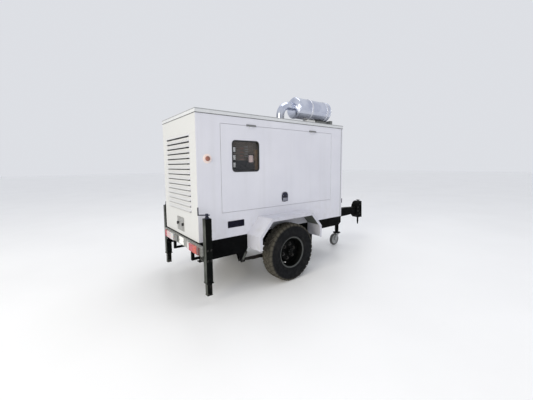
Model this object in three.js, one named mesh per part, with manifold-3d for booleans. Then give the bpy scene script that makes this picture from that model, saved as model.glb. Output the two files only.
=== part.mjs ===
// Towable diesel generator: a sheet-steel canopy on a single-axle drawbar trailer.
// Millimetres, +Z up. +X points to the drawbar, -Y is the control (near) side.
// The pieces are laid out about the middle of the canopy, on ground level; the whole
// model is then moved along X so that its origin is the middle of its footprint.

import * as THREE from 'three';
import { mergeVertices } from 'three/addons/utils/BufferGeometryUtils.js';
import Module from 'manifold-3d';

// ---- driving dimensions ----

const GAP = 0.4; // clearance between pieces that touch
const SHEET = 3; // canopy sheet thickness
const FOLD = 25; // depth of the folded edge of a canopy panel
const ORIGIN_X = 700; // middle of the footprint, measured from the middle of the canopy

const ROOF = { halfLength: 1375, halfWidth: 600, bottom: 2265, top: 2320 };
const WALL = { halfLength: 1371, halfWidth: 596, bottom: 720.4, top: 2264.6 };
const DOOR = { rear: -1045, front: 1065, bottom: 1050, top: 2165, seam: 4 };
const WINDOW = { rear: -877, front: -465, bottom: 1572, top: 1963, corner: 40 };
const LATCH = { rear: -44, front: 66, bottom: 1110, top: 1245, thick: 8 };
const HINGE = { rear: -586, front: 600, y: 606, z: 2167, barrel: 8, pin: 4, knuckle: 50 };
const STOP = { x: -1230, z: 1733, head: 30, stem: 12, travel: 6 };
const HATCH = { left: -134, right: 110, bottom: 770, top: 950, thick: 4 };
const KNOB = { left: 68, right: -110, z: 868, radius: 20 };
const REAR_LOUVRES = { count: 15, low: 1090, pitch: 67, left: -400, right: 420 };
const FRONT_LOUVRES = { count: 16, low: 860, pitch: 67, left: -430, right: 430 };

const RAIL = { y: 592, deep: 475, shallow: 565, step: -690, top: 719.6, web: 8, flange: 70 };
const GUARD = { near: -364, far: 290, wide: 40, bottom: 435, thick: 27, reach: 410 };
const SPRING = { inner: 530, outer: 580, rear: -750, front: 570, eyeZ: 366, leaf: 9 };
const AXLE = { x: -83, z: 410, half: 40, end: 640, stub: 30, stubEnd: 814 };
const WHEEL = { y: 773.5, radius: 410, halfWidth: 105, seat: 204, sides: 24 };
const LAMP = { near: -705, far: 153, length: 360, bottom: 595, top: 700, rearEnd: -1430 };
const BOARD = { near: -720, far: 610, bottom: 590, top: 705, depth: 28 };
const FENDER = { top: 943, bend: 724, low: 542.5, flat: 390, foot: 589, outer: 891, lip: 42, thick: 4 };
const JACK = { x: -1320, y: 727, half: 40, bottom: 254, top: 1034, foot: 106, crankTop: 1165 };
const CRANK_TURN = { near: -37.2, far: -127.2 }; // degrees from the rearward direction
const BEAM = { half: 50, bottom: 540, top: 710, rear: 640, front: 2624.6, taper: 2300 };
const JAW = { rear: 2625, front: 2830, lean: 18, bottom: 450, top: 815, half: 75, pinX: 2785, pin: 18 };
const JOCKEY = { x: 1870, y: -120, tube: 38, bottom: 285, top: 850, wheel: 117.5, trail: 80 };
const MUFFLER = { y: -375, z: 2552, radius: 168, rear: 375, front: 1140 };
const PIPE = { x: 115, z: 2572, radius: 61, joint: 2240, bend: 170 };
const ENGINE = { shaftZ: 1010, rear: 150, front: 930 };

// ---- geometry helpers ----

const wasm = await Module();
wasm.setup();

/** Box between two corners; the limits of each axis may come in either order. */
function box(x0, x1, y0, y1, z0, z1) {
  const geometry = new THREE.BoxGeometry(Math.abs(x1 - x0), Math.abs(y1 - y0), Math.abs(z1 - z0));
  return geometry.translate((x0 + x1) / 2, (y0 + y1) / 2, (z0 + z1) / 2);
}

/** Plate between two Y values whose outline is drawn in X and Z. */
function plateY(shape, y0, y1) {
  const options = { depth: Math.abs(y1 - y0), bevelEnabled: false, curveSegments: 6 };
  const geometry = new THREE.ExtrudeGeometry(shape, options);
  return geometry.rotateX(Math.PI / 2).translate(0, Math.max(y0, y1), 0);
}

/** Closed outline through a list of points. */
function outline(points) {
  return new THREE.Shape(points.map(([u, v]) => new THREE.Vector2(u, v)));
}

/** Rectangle with round corners. */
function roundedRectangle(u0, u1, v0, v1, radius) {
  const shape = new THREE.Shape();
  shape.moveTo(u0 + radius, v0);
  shape.lineTo(u1 - radius, v0);
  shape.absarc(u1 - radius, v0 + radius, radius, -Math.PI / 2, 0);
  shape.lineTo(u1, v1 - radius);
  shape.absarc(u1 - radius, v1 - radius, radius, 0, Math.PI / 2);
  shape.lineTo(u0 + radius, v1);
  shape.absarc(u0 + radius, v1 - radius, radius, Math.PI / 2, Math.PI);
  shape.lineTo(u0, v0 + radius);
  shape.absarc(u0 + radius, v0 + radius, radius, Math.PI, Math.PI * 1.5);
  return shape;
}

/** Turns a Z-axis geometry to lie along the named axis. */
function along(geometry, axis) {
  if (axis === 'x') geometry.rotateY(Math.PI / 2);
  if (axis === 'y') geometry.rotateX(-Math.PI / 2);
  return geometry;
}

/** Round bar along an axis, from one end to the other, through the given centre. */
function bar(axis, radius, from, to, centre, sides = 16) {
  const geometry = new THREE.CylinderGeometry(radius, radius, Math.abs(to - from), sides);
  geometry.rotateX(Math.PI / 2);
  along(geometry, axis);
  const middle = (from + to) / 2;
  const [a, b] = centre;
  const place = { x: [middle, a, b], y: [a, middle, b], z: [a, b, middle] }[axis];
  return geometry.translate(...place);
}

/** Solid of revolution about an axis through the origin; the profile is [radius, height] pairs. */
function turned(profile, axis, sides) {
  const points = profile.map(([r, h]) => new THREE.Vector2(r, h));
  const geometry = new THREE.LatheGeometry(points, sides).rotateX(Math.PI / 2);
  return along(geometry, axis);
}

/** Repeats a profile's first point at its end, so that it closes on itself. */
function closed(profile) {
  return [...profile, profile[0]];
}

/** Manifold solid of a closed geometry. */
function solid(geometry) {
  const bare = geometry.clone();
  bare.deleteAttribute('normal');
  bare.deleteAttribute('uv');
  const merged = mergeVertices(bare, 1e-3);
  const triVerts = new Uint32Array(merged.index.array);
  const vertProperties = new Float32Array(merged.attributes.position.array);
  return new wasm.Manifold(new wasm.Mesh({ numProp: 3, vertProperties, triVerts }));
}

/** Joins the first list of geometries and cuts the second list from the result. */
function carve(added, removed = []) {
  let shape = solid(added[0]);
  for (const geometry of added.slice(1)) shape = shape.add(solid(geometry));
  for (const geometry of removed) shape = shape.subtract(solid(geometry));
  const mesh = shape.getMesh();
  const result = new THREE.BufferGeometry();
  result.setAttribute('position', new THREE.BufferAttribute(new Float32Array(mesh.vertProperties), 3));
  result.setIndex(new THREE.BufferAttribute(new Uint32Array(mesh.triVerts), 1));
  result.computeVertexNormals();
  return result;
}

// ---- materials ----

function finish(color, roughness, metalness) {
  return new THREE.MeshStandardMaterial({ color, roughness, metalness, flatShading: true });
}

const whitePaint = finish(0xdcdce4, 0.45, 0.1);
const blackPaint = finish(0x34363a, 0.5, 0.2);
const dullSteel = finish(0x8c8e90, 0.5, 0.8);
const brightSteel = finish(0xc4c8d0, 0.22, 1.0);
const darkPlastic = finish(0x2c3048, 0.5, 0.0);
const blackPlastic = finish(0x1c1c1e, 0.55, 0.0);
const redPlastic = finish(0xa83a28, 0.4, 0.0);
const lampPlastic = finish(0xe06a50, 0.25, 0.0);
const tyreRubber = finish(0x3c3a38, 0.85, 0.0);
const greyRubber = finish(0x9a9a98, 0.7, 0.0);
const springSteel = finish(0x3a3834, 0.6, 0.6);
const engineIron = finish(0x3f5f4f, 0.55, 0.3);
const coreAluminium = finish(0x55585c, 0.5, 0.7);
const windowGlass = new THREE.MeshStandardMaterial({
  color: 0x3a4048, roughness: 0.08, metalness: 0, transparent: true, opacity: 0.35,
});

// ---- assembly ----

const model = new THREE.Group();
const group = new THREE.Group();
group.add(model);
model.position.x = -ORIGIN_X;

/** Adds one named piece to the model. */
function piece(name, geometry, material, place = [0, 0, 0]) {
  const mesh = new THREE.Mesh(geometry, material);
  mesh.name = name;
  mesh.position.set(...place);
  model.add(mesh);
  return mesh;
}

const SIDES = [
  { side: 'near', s: -1 },
  { side: 'far', s: 1 },
];

// ---- chassis ----

/** C-channel side rail, deeper at the rear, with its two spring hangers welded under it. */
function sideRail(s) {
  const end = WALL.halfLength;
  const { deep, shallow, step, top, web, flange } = RAIL;
  const ramp = step + 40;
  const side = outline([[-end, deep], [step, deep], [ramp, shallow], [end - 60, shallow],
    [end, shallow + 45], [end, top], [-end, top]]);
  const under = outline([[-end, deep], [step, deep], [ramp, shallow], [end - 62, shallow],
    [end - 62, shallow + web], [ramp - 5, shallow + web], [step - 5, deep + web], [-end, deep + web]]);
  const inner = s * (RAIL.y - flange);
  const parts = [
    plateY(side, s * (RAIL.y - web), s * RAIL.y),
    box(-end, end, inner, s * (RAIL.y - 1), top - web, top),
    plateY(under, inner, s * (RAIL.y - 1)),
  ];
  for (const [eyeX, bottom] of [[SPRING.rear, deep], [SPRING.front, shallow]]) {
    const hanger = outline([[eyeX - 65, bottom + 4], [eyeX - 26, SPRING.eyeZ - 26],
      [eyeX + 40, SPRING.eyeZ - 26], [eyeX + 58, bottom + 4]]);
    parts.push(plateY(hanger, inner, s * (SPRING.inner - 2)));
    parts.push(plateY(hanger, s * (SPRING.outer + 2), s * (SPRING.outer + 8)));
  }
  return carve(parts);
}

/** Rear cross-member with the two hanging guard bars that protect the tank. */
function rearCrossmember() {
  const x = -WALL.halfLength;
  const bottom = 575;
  const end = RAIL.y - RAIL.web - GAP;
  const wall = 6;
  const wide = 60;
  const parts = [box(x, x + wide, -end, end, bottom, RAIL.top - RAIL.web - GAP)];
  for (const y of [GUARD.near, GUARD.far]) {
    const side = [y, y + GUARD.wide];
    const low = GUARD.bottom;
    parts.push(box(x, x + 36, ...side, low, bottom + 5));
    parts.push(box(x, x + GUARD.reach, ...side, low, low + GUARD.thick));
    parts.push(box(x + GUARD.reach - 30, x + GUARD.reach, ...side, low, 560 - GAP));
  }
  const hollow = box(x + wall, x + wide - wall, -end + wall, end - wall, bottom + wall, RAIL.top);
  return carve(parts, [hollow]);
}

/** Channel cross-member between the rail flanges, open towards the rear. */
function crossmember(x0, x1, passage = []) {
  const { web, shallow, top } = RAIL;
  const y = RAIL.y - RAIL.flange - GAP;
  const hollow = box(x0 - 10, x1 - web, -y + web, y - web, shallow + web, top - web);
  return carve([box(x0, x1, -y, y, shallow, top)], [hollow, ...passage]);
}

/** Base fuel tank between the rails, with a filler hole in its top. */
function fuelTank() {
  const wall = 4;
  const [x0, x1, y, z0, z1] = [-1300, 540, 510, 560, 711];
  const outer = box(x0, x1, -y, y, z0, z1);
  const inner = box(x0 + wall, x1 - wall, -y + wall, y - wall, z0 + wall, z1 - wall);
  return carve([outer], [inner, bar('z', 30, z1 - 10, z1 + 10, [-1150, -300])]);
}

/** Central drawbar, a box section that tapers to the coupling. */
function drawbar() {
  const side = outline([[BEAM.rear, BEAM.bottom], [BEAM.taper, BEAM.bottom], [BEAM.front, BEAM.bottom + 20],
    [BEAM.front, BEAM.top - 20], [BEAM.taper, BEAM.top], [BEAM.rear, BEAM.top]]);
  const wall = 8;
  const half = BEAM.half - wall;
  const bore = box(BEAM.rear - 5, BEAM.taper, -half, half, BEAM.bottom + wall, BEAM.top - wall);
  return carve([plateY(side, -BEAM.half, BEAM.half)], [bore]);
}

/** Outline of the coupling's cheek: leaning front, round top rear corner, chamfered lower corner. */
function jawOutline(inset = 0) {
  const shape = new THREE.Shape();
  const rear = JAW.rear + inset;
  const front = JAW.front - inset;
  const round = 130 - inset;
  shape.moveTo(rear + 70 - inset, JAW.bottom + inset);
  shape.lineTo(front, JAW.bottom + inset);
  shape.lineTo(front - JAW.lean, JAW.top - inset);
  shape.lineTo(rear + round, JAW.top - inset);
  shape.absellipse(rear + round, JAW.top - 190, round, 190 - inset, Math.PI / 2, Math.PI);
  shape.lineTo(rear, JAW.bottom + 60);
  return shape;
}

/** Towing jaw: two cheeks around a mouth, with a vertical hole for the drop pin. */
function hitchJaw() {
  const recess = 12;
  const removed = [
    box(JAW.rear + 100, JAW.front + 10, -45, 45, 575, 705),
    bar('z', JAW.pin + 1, JAW.bottom - 10, JAW.top + 10, [JAW.pinX, 0], 20),
    plateY(jawOutline(24), -JAW.half - 5, -JAW.half + recess),
    plateY(jawOutline(24), JAW.half - recess, JAW.half + 5),
  ];
  return carve([plateY(jawOutline(), -JAW.half, JAW.half)], removed);
}

/** Drop pin with a tapered tip, a collar and a cross handle. */
function hitchPin() {
  const collar = JAW.top + GAP;
  const shank = turned([[0, 280], [9, 280], [JAW.pin, 340], [JAW.pin, collar], [30, collar], [30, collar + 8],
    [10, collar + 10], [10, collar + 26], [0, collar + 26]], 'z', 20);
  return carve([shank, bar('y', 6, -45, 45, [0, collar + 22], 10)]);
}

function buildChassis() {
  for (const { side, s } of SIDES) piece(`side_rail_${side}`, sideRail(s), blackPaint);
  const front = WALL.halfLength;
  const clear = BEAM.half + GAP;
  const passage = box(front - 70, front + 10, -clear, clear, BEAM.bottom - GAP, BEAM.top + GAP);
  piece('crossmember_rear', rearCrossmember(), blackPaint);
  piece('crossmember_middle', crossmember(560, 639.6), blackPaint);
  piece('crossmember_front', crossmember(front - 60, front, [passage]), blackPaint);
  piece('fuel_tank', fuelTank(), blackPaint);
  piece('drawbar', drawbar(), blackPaint);
  piece('hitch_jaw', hitchJaw(), blackPaint);
  piece('hitch_pin', hitchPin(), dullSteel, [JAW.pinX, 0, 0]);
}

// ---- canopy ----

/** Canopy side sheet with the door opening, folded inwards round both edges. */
function sideFrame(s) {
  const end = WALL.halfLength - FOLD - GAP;
  const out = s * WALL.halfWidth;
  const inn = s * (WALL.halfWidth - FOLD);
  const skin = s * (WALL.halfWidth - SHEET);
  const deep = inn - s * 10;
  const { rear, front, bottom, top, seam } = DOOR;
  const sheet = box(-end, end, inn, out, WALL.bottom, WALL.top);
  const opening = box(rear - seam, front + seam, deep, out + s * 10, bottom - seam, top + seam);
  const rim = seam + SHEET;
  const hollow = carve(
    [box(-end + SHEET, end - SHEET, deep, skin, WALL.bottom + SHEET, WALL.top - SHEET)],
    [box(rear - rim, front + rim, deep - s * 10, out, bottom - rim, top + rim)],
  );
  const removed = [opening, hollow];
  const face = WALL.halfWidth;
  if (s < 0) removed.push(bar('y', STOP.stem + 1, -face - 10, -face + 10, [STOP.x, STOP.z]));
  return carve([sheet], removed);
}

/** Row of pressed louvres: hoods standing out from an end panel, and the slots behind them. */
function louvres(face, outward, { count, low, pitch, left, right }) {
  const hoods = [];
  const slots = [];
  const cheek = 3;
  for (let i = 0; i < count; i += 1) {
    const z = low + i * pitch;
    const root = face - outward * 1;
    const tip = face + outward * 24;
    const outer = outline([[root, z + 20], [tip, z - 14], [root, z - 14]]);
    const inner = outline([[root, z + 16], [tip - outward * 4, z - 16], [root, z - 16]]);
    hoods.push(carve([plateY(outer, left, right)], [plateY(inner, left + cheek, right - cheek)]));
    slots.push(box(face - outward * 10, face + outward * 5, left + 4, right - 4, z - 28, z + 13));
  }
  return { hoods, slots };
}

/** Canopy end panel with folded edges and louvre hoods; outward is -1 at the rear, 1 at the front. */
function endPanel(outward, rows, cuts = []) {
  const face = outward * WALL.halfLength;
  const inner = face - outward * FOLD;
  const skin = face - outward * SHEET;
  const y = WALL.halfWidth;
  const sheet = box(inner, face, -y, y, WALL.bottom, WALL.top);
  const [low, high] = [WALL.bottom + SHEET, WALL.top - SHEET];
  const hollow = box(inner - outward * 10, skin, -y + SHEET, y - SHEET, low, high);
  const { hoods, slots } = louvres(face, outward, rows);
  return carve([carve([sheet], [hollow, ...cuts, ...slots]), ...hoods]);
}

/** Roof cap: a shallow tray turned upside down, with the exhaust hole. */
function roofCap() {
  const { halfLength: x, halfWidth: y, bottom, top } = ROOF;
  const under = box(-x + SHEET, x - SHEET, -y + SHEET, y - SHEET, bottom - 10, top - SHEET);
  const exhaust = bar('z', PIPE.radius + 6, top - 20, top + 10, [PIPE.x, MUFFLER.y]);
  return carve([box(-x, x, -y, y, bottom, top)], [under, exhaust]);
}

/** Top-hung door: a folded tray with the moving knuckle of each hinge, and a window if asked. */
function door(s, glazed) {
  const { rear, front, bottom, top } = DOOR;
  const out = s * WALL.halfWidth;
  const inn = s * (WALL.halfWidth - FOLD);
  const skin = s * (WALL.halfWidth - SHEET);
  const added = [box(rear, front, inn, out, bottom, top)];
  const hollow = box(rear + SHEET, front - SHEET, inn - s * 10, skin, bottom + SHEET, top - SHEET);
  const tray = carve(added, [hollow]);
  const knuckles = [];
  const bores = [];
  for (const x of [HINGE.rear, HINGE.front]) {
    const half = HINGE.knuckle / 2 - GAP;
    knuckles.push(bar('x', HINGE.barrel, x - half, x + half, [s * HINGE.y, HINGE.z]));
    knuckles.push(box(x - half, x + half, s * (HINGE.y - 2), out - s * 1, HINGE.z - 30, HINGE.z - 3));
    bores.push(bar('x', HINGE.pin + 0.6, x - half - 5, x + half + 5, [s * HINGE.y, HINGE.z]));
  }
  if (glazed) {
    const hole = roundedRectangle(WINDOW.rear, WINDOW.front, WINDOW.bottom, WINDOW.top, WINDOW.corner);
    bores.push(plateY(hole, inn, out + s * 10));
  }
  return carve([tray, ...knuckles], bores);
}

/** Fixed half of a door hinge: leaf on the side sheet, two outer knuckles and the pin. */
function doorHinge(s, x) {
  const leafIn = s * (WALL.halfWidth + GAP);
  const half = HINGE.knuckle / 2;
  const reach = half + HINGE.knuckle;
  const centre = [s * HINGE.y, HINGE.z];
  return carve([
    box(x - reach, x + reach, leafIn, s * (HINGE.y - 2), HINGE.z + 5, HINGE.z + 16),
    bar('x', HINGE.barrel, x - reach, x - half, centre),
    bar('x', HINGE.barrel, x + half, x + reach, centre),
    bar('x', HINGE.pin, x - reach + 5, x + reach - 5, centre),
  ], [box(x - half, x + half, leafIn - s * 5, s * (HINGE.y + 20), HINGE.z + 4, HINGE.z + 9)]);
}

/** Window pane that fills the door's window opening. */
function windowPane() {
  const pane = roundedRectangle(WINDOW.rear + GAP, WINDOW.front - GAP, WINDOW.bottom + GAP,
    WINDOW.top - GAP, WINDOW.corner);
  return plateY(pane, -WALL.halfWidth + 1, -WALL.halfWidth + 6);
}

/** Paddle latch: an arched plate that is pulled out at its lower edge. */
function doorLatch(s) {
  const { rear, front, bottom, top, thick } = LATCH;
  const middle = (rear + front) / 2;
  const half = (front - rear) / 2;
  const shoulder = top - 60;
  const shape = new THREE.Shape();
  shape.moveTo(rear, bottom);
  shape.lineTo(front, bottom);
  shape.lineTo(front, shoulder);
  shape.absellipse(middle, shoulder, half, top - shoulder, 0, Math.PI);
  const face = WALL.halfWidth + GAP;
  return plateY(shape, s * face, s * (face + thick));
}

/** Mushroom-head stop button, standing out along -Y from its own origin. */
function stopButton() {
  const stand = STOP.travel + 2;
  const profile = [[0, -16], [STOP.stem, -16], [STOP.stem, stand], [STOP.head, stand], [STOP.head, stand + 8],
    [STOP.head * 0.75, stand + 18], [0, stand + 22]];
  return turned(profile, 'y', 20).rotateX(Math.PI);
}

/** Cover plate of the cable outlet in the rear panel. */
function outputHatch() {
  const face = -WALL.halfLength - GAP;
  return box(face - HATCH.thick, face, HATCH.left, HATCH.right, HATCH.bottom, HATCH.top);
}

/** Quarter-turn knob with a grip bar, standing out along -X from its own origin. */
function hatchKnob() {
  const { radius } = KNOB;
  return carve([bar('x', radius, -12, 0, [0, 0]), box(-22, -11, -5, 5, -radius, radius)]);
}

function buildCanopy() {
  for (const { side, s } of SIDES) {
    piece(`side_frame_${side}`, sideFrame(s), whitePaint);
    piece(`door_${side}`, door(s, s < 0), whitePaint);
    piece(`door_latch_${side}`, doorLatch(s), darkPlastic);
    piece(`door_hinge_${side}_rear`, doorHinge(s, HINGE.rear), dullSteel);
    piece(`door_hinge_${side}_front`, doorHinge(s, HINGE.front), dullSteel);
  }
  const margin = 24;
  const outlet = box(-WALL.halfLength - 10, -WALL.halfLength + 40, HATCH.left + margin, HATCH.right - margin,
    HATCH.bottom + margin, HATCH.top - margin);
  piece('rear_panel', endPanel(-1, REAR_LOUVRES, [outlet]), whitePaint);
  piece('front_panel', endPanel(1, FRONT_LOUVRES), whitePaint);
  piece('roof', roofCap(), whitePaint);
  piece('window_pane', windowPane(), windowGlass);
  piece('emergency_stop', stopButton(), redPlastic, [STOP.x, -WALL.halfWidth, STOP.z]);
  piece('output_hatch', outputHatch(), dullSteel);
  const knobX = -WALL.halfLength - 2 * GAP - HATCH.thick;
  piece('hatch_knob_left', hatchKnob(), blackPlastic, [knobX, KNOB.left, KNOB.z]);
  piece('hatch_knob_right', hatchKnob(), blackPlastic, [knobX, KNOB.right, KNOB.z]);
}

// ---- running gear ----

/** Beam axle with round stubs and the clamps that hold it on the springs. */
function axleBeam() {
  const { half, end, stub, stubEnd } = AXLE;
  const clampDepth = 46;
  const parts = [box(-half, half, -end, end, -half, half)];
  for (const s of [-1, 1]) {
    parts.push(bar('y', stub, s * (end - 5), s * stubEnd, [0, 0], 24));
    const inner = s * (SPRING.inner - 12);
    const outer = s * (SPRING.outer + 12);
    const under = -half - clampDepth - 2 * GAP;
    parts.push(box(-60, 60, inner, outer, under - 12, under));
    for (const x of [-52, 39]) {
      parts.push(box(x, x + 13, inner, outer, half - 1, half + 12));
      parts.push(box(x, x + 13, inner, s * (SPRING.inner - GAP), under - 1, half + 11));
      parts.push(box(x, x + 13, s * (SPRING.outer + GAP), outer, under - 1, half + 11));
    }
  }
  return carve(parts);
}

/** Leaf spring: five graduated leaves in one pack, with an eye at each end of the top leaf. */
function leafSpring(s) {
  const seat = AXLE.z - AXLE.half - GAP;
  const rise = SPRING.eyeZ + 6 - seat;
  const rearReach = AXLE.x - SPRING.rear;
  const frontReach = SPRING.front - AXLE.x;
  const topAt = (x) => {
    const t = (x - AXLE.x) / (x < AXLE.x ? rearReach : frontReach);
    return seat + rise * t * t;
  };
  const leafEnd = (x, leaf) => [[x, topAt(x) - leaf * SPRING.leaf], [x, topAt(x) - (leaf + 1) * SPRING.leaf]];
  const shares = [1, 1, 0.92, 0.8, 0.55];
  const frontEnds = shares.flatMap((share, leaf) => leafEnd(AXLE.x + frontReach * share, leaf));
  const rearEnds = shares.flatMap((share, leaf) => leafEnd(AXLE.x - rearReach * share, leaf));
  const topSteps = 10;
  const top = [];
  for (let i = 1; i < topSteps; i += 1) {
    const x = SPRING.rear + ((SPRING.front - SPRING.rear) * i) / topSteps;
    top.push([x, topAt(x)]);
  }
  const inner = s * SPRING.inner;
  const outer = s * SPRING.outer;
  const pack = plateY(outline([...top, ...frontEnds, ...rearEnds.reverse()]), inner, outer);
  const eyes = [SPRING.rear, SPRING.front].map((x) => bar('y', 17, inner, outer, [x, SPRING.eyeZ], 12));
  return carve([pack, ...eyes]);
}

/** Tyre carcass, open towards the rim; flat facets touch the ground. */
function tyre() {
  const tread = WHEEL.radius / Math.cos(Math.PI / WHEEL.sides);
  const half = WHEEL.halfWidth;
  const outer = [[226.5, 83], [252, 97], [300, half], [358, half - 1], [396, 95], [tread, 80]];
  const inner = [[tread - 24, 64], [370, 90], [300, 96], [245, 80], [207.5, 62], [207.5, 75]];
  const mirrored = (list) => list.map(([r, y]) => [r, -y]).reverse();
  const profile = [...outer, ...mirrored(outer), ...mirrored(inner), ...inner].reverse();
  return turned(closed(profile), 'y', WHEEL.sides).rotateY(Math.PI / WHEEL.sides);
}

/** Pressed steel wheel with its hub; the dish is set back from the outer flange. */
function wheelRim() {
  const seat = WHEEL.seat;
  const bore = AXLE.stub + 0.7;
  return turned([
    [0, 44], [bore, 44], [bore, -60], [66, -60], [66, -20], [150, -20], [seat - 7, -34], [seat - 7, -82],
    [seat + 16, -90], [seat + 19, -85], [seat + 2, -77], [seat, -60], [seat, 60], [seat + 2, 77],
    [seat + 19, 85], [seat + 16, 90], [seat - 7, 82], [seat - 7, -12], [150, -4], [70, -4], [58, 46],
    [46, 54], [0, 54],
  ], 'y', 20);
}

/** Angular mudguard: five flat faces with a turned-down outer lip. */
function fender(s) {
  const { top, bend, low, flat, foot, thick, lip, outer } = FENDER;
  const arch = (drop, tuck) => [
    [AXLE.x - foot + drop, low], [AXLE.x - foot + drop, bend - tuck], [AXLE.x - flat + tuck, top - drop],
    [AXLE.x + flat - tuck, top - drop], [AXLE.x + foot - drop, bend - tuck], [AXLE.x + foot - drop, low],
  ];
  const strip = (depth, tuck) => outline([...arch(0, 0), ...arch(depth, tuck).reverse()]);
  return carve([
    plateY(strip(thick, thick * 0.42), s * (WALL.halfWidth + GAP), s * outer),
    plateY(strip(lip, lip * 0.42), s * (outer - SHEET), s * outer),
  ]);
}

function buildRunningGear() {
  piece('axle', axleBeam(), blackPaint, [AXLE.x, 0, AXLE.z]);
  for (const { side, s } of SIDES) {
    piece(`leaf_spring_${side}`, leafSpring(s), springSteel);
    const hub = [AXLE.x, s * WHEEL.y, AXLE.z];
    piece(`tyre_${side}`, tyre(), tyreRubber, hub);
    const rim = wheelRim();
    if (s < 0) rim.rotateX(Math.PI);
    piece(`wheel_${side}`, rim, blackPaint, hub);
    piece(`fender_${side}`, fender(s), whitePaint);
  }
}

// ---- rear lights ----

function buildLights() {
  const face = -WALL.halfLength - GAP;
  const skin = face - BOARD.depth;
  const rim = 10;
  const tray = box(skin, face, BOARD.near, BOARD.far, BOARD.bottom, BOARD.top);
  const [low, high] = [BOARD.bottom + rim, BOARD.top - rim];
  const hollow = box(skin + SHEET, face + 5, BOARD.near + rim, BOARD.far - rim, low, high);
  piece('light_board', carve([tray], [hollow]), dullSteel);
  const { bottom, top, rearEnd, length } = LAMP;
  const lens = outline([[skin - GAP, bottom], [skin - GAP, top], [rearEnd, top - 4], [rearEnd, bottom + 4]]);
  for (const { side } of SIDES) {
    piece(`tail_lamp_${side}`, plateY(lens, LAMP[side], LAMP[side] + length), lampPlastic);
  }
}

// ---- corner jacks ----

/** Jack housing: square tube, foot collar, spindle neck and the bracket welded to the rail. */
function jackTube(s) {
  const { half, bottom, top } = JACK;
  const bore = half - 8;
  const collar = half + 6;
  return carve([
    box(-half, half, -half, half, bottom, top),
    box(-collar, collar, -collar, collar, bottom, bottom + 12),
    bar('z', 18, top - 5, top + 26, [0, 0]),
    box(-half, half, s * (1 - half), s * (RAIL.y + GAP - JACK.y), 505, 690),
  ], [box(-bore, bore, -bore, bore, bottom - 10, top - 14)]);
}

/** Sliding inner leg with its foot plate. */
function jackLeg() {
  const half = JACK.half - 9;
  const bore = half - 6;
  return carve([
    box(-half, half, -half, half, JACK.foot, 820),
    box(-half - 3, half + 3, -half - 3, half + 3, JACK.foot, JACK.foot + 8),
  ], [box(-bore, bore, -bore, bore, JACK.foot + 20, 830)]);
}

/** Winding handle: hub, arm, upright grip and a short counter stub. */
function crank(seat, reach, gripTop) {
  const low = seat + 8;
  return carve([
    bar('z', 19, seat, seat + 30, [0, 0]),
    box(-reach, 34, -7, 7, low, low + 12),
    bar('z', 8, low, gripTop, [-reach, 0], 12),
  ]);
}

function buildJacks() {
  for (const { side, s } of SIDES) {
    const place = [JACK.x, s * JACK.y, 0];
    piece(`jack_tube_${side}`, jackTube(s), blackPaint, place);
    piece(`jack_leg_${side}`, jackLeg(), blackPaint, place);
    const handle = crank(JACK.top + 26 + GAP, 102, JACK.crankTop);
    handle.rotateZ(THREE.MathUtils.degToRad(CRANK_TURN[side]));
    piece(`jack_crank_${side}`, handle, darkPlastic, place);
  }
}

// ---- jockey wheel ----

/** Clamp on the drawbar's side that grips the jockey tube, with its tightening screw. */
function jockeyClamp() {
  const inner = -BEAM.half - GAP;
  const outer = JOCKEY.y - JOCKEY.tube - 14;
  return carve([
    box(JOCKEY.x - 52, JOCKEY.x + 52, outer, inner, 590, 670),
    bar('y', 8, outer - 45, outer + 5, [JOCKEY.x, 630]),
    bar('z', 6, 590, 670, [JOCKEY.x, outer - 40], 10),
  ], [bar('z', JOCKEY.tube + 1, 580, 680, [JOCKEY.x, JOCKEY.y], 24)]);
}

/** Fork that trails behind the swivel, with the wheel's pin through it. */
function jockeyFork() {
  const { wheel, trail } = JOCKEY;
  const cheek = outline([[-24, 239.6], [30, 239.6], [30, 222], [-trail + 20, wheel - 18],
    [-trail - 18, wheel - 10], [-trail - 18, wheel + 16]]);
  return carve([
    box(-24, 30, -36, 36, 226, 239.6),
    plateY(cheek, -36, -29),
    plateY(cheek, 29, 36),
    bar('y', 8, -42, 42, [-trail, wheel]),
  ]);
}

/** Small solid-tyred wheel. */
function jockeyWheel() {
  const sides = 20;
  const tread = JOCKEY.wheel / Math.cos(Math.PI / sides);
  const outer = [[9, 25], [28, 25], [28, 10], [84, 10], [88, 25], [tread - 6, 25], [tread, 18]];
  const inner = outer.map(([r, y]) => [r, -y]).reverse();
  const profile = [...outer, ...inner];
  return turned(closed(profile.reverse()), 'y', sides).rotateY(Math.PI / sides);
}

function buildJockey() {
  const place = [JOCKEY.x, JOCKEY.y, 0];
  const { tube, bottom, top, wheel, trail } = JOCKEY;
  const neck = top + 20;
  const housing = [[0, neck], [13, neck], [13, top], [tube, top], [tube, bottom], [tube - 4.5, bottom],
    [tube - 4.5, top - 8], [0, top - 8]];
  const slider = tube - 5.2;
  const leg = [[0, 262], [18, 262], [18, 800], [slider, 800], [slider, 252], [75, 252], [75, 240],
    [0, 240]];
  piece('jockey_clamp', jockeyClamp(), blackPaint);
  piece('jockey_tube', turned(housing.reverse(), 'z', 24), blackPaint, place);
  piece('jockey_leg', turned(leg.reverse(), 'z', 24), blackPaint, place);
  piece('jockey_fork', jockeyFork(), dullSteel, place);
  piece('jockey_wheel', jockeyWheel(), greyRubber, [JOCKEY.x - trail, JOCKEY.y, wheel]);
  piece('jockey_crank', crank(neck + GAP, 110, neck + 95).rotateZ(Math.PI / 2), blackPaint, place);
}

// ---- exhaust ----

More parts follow.
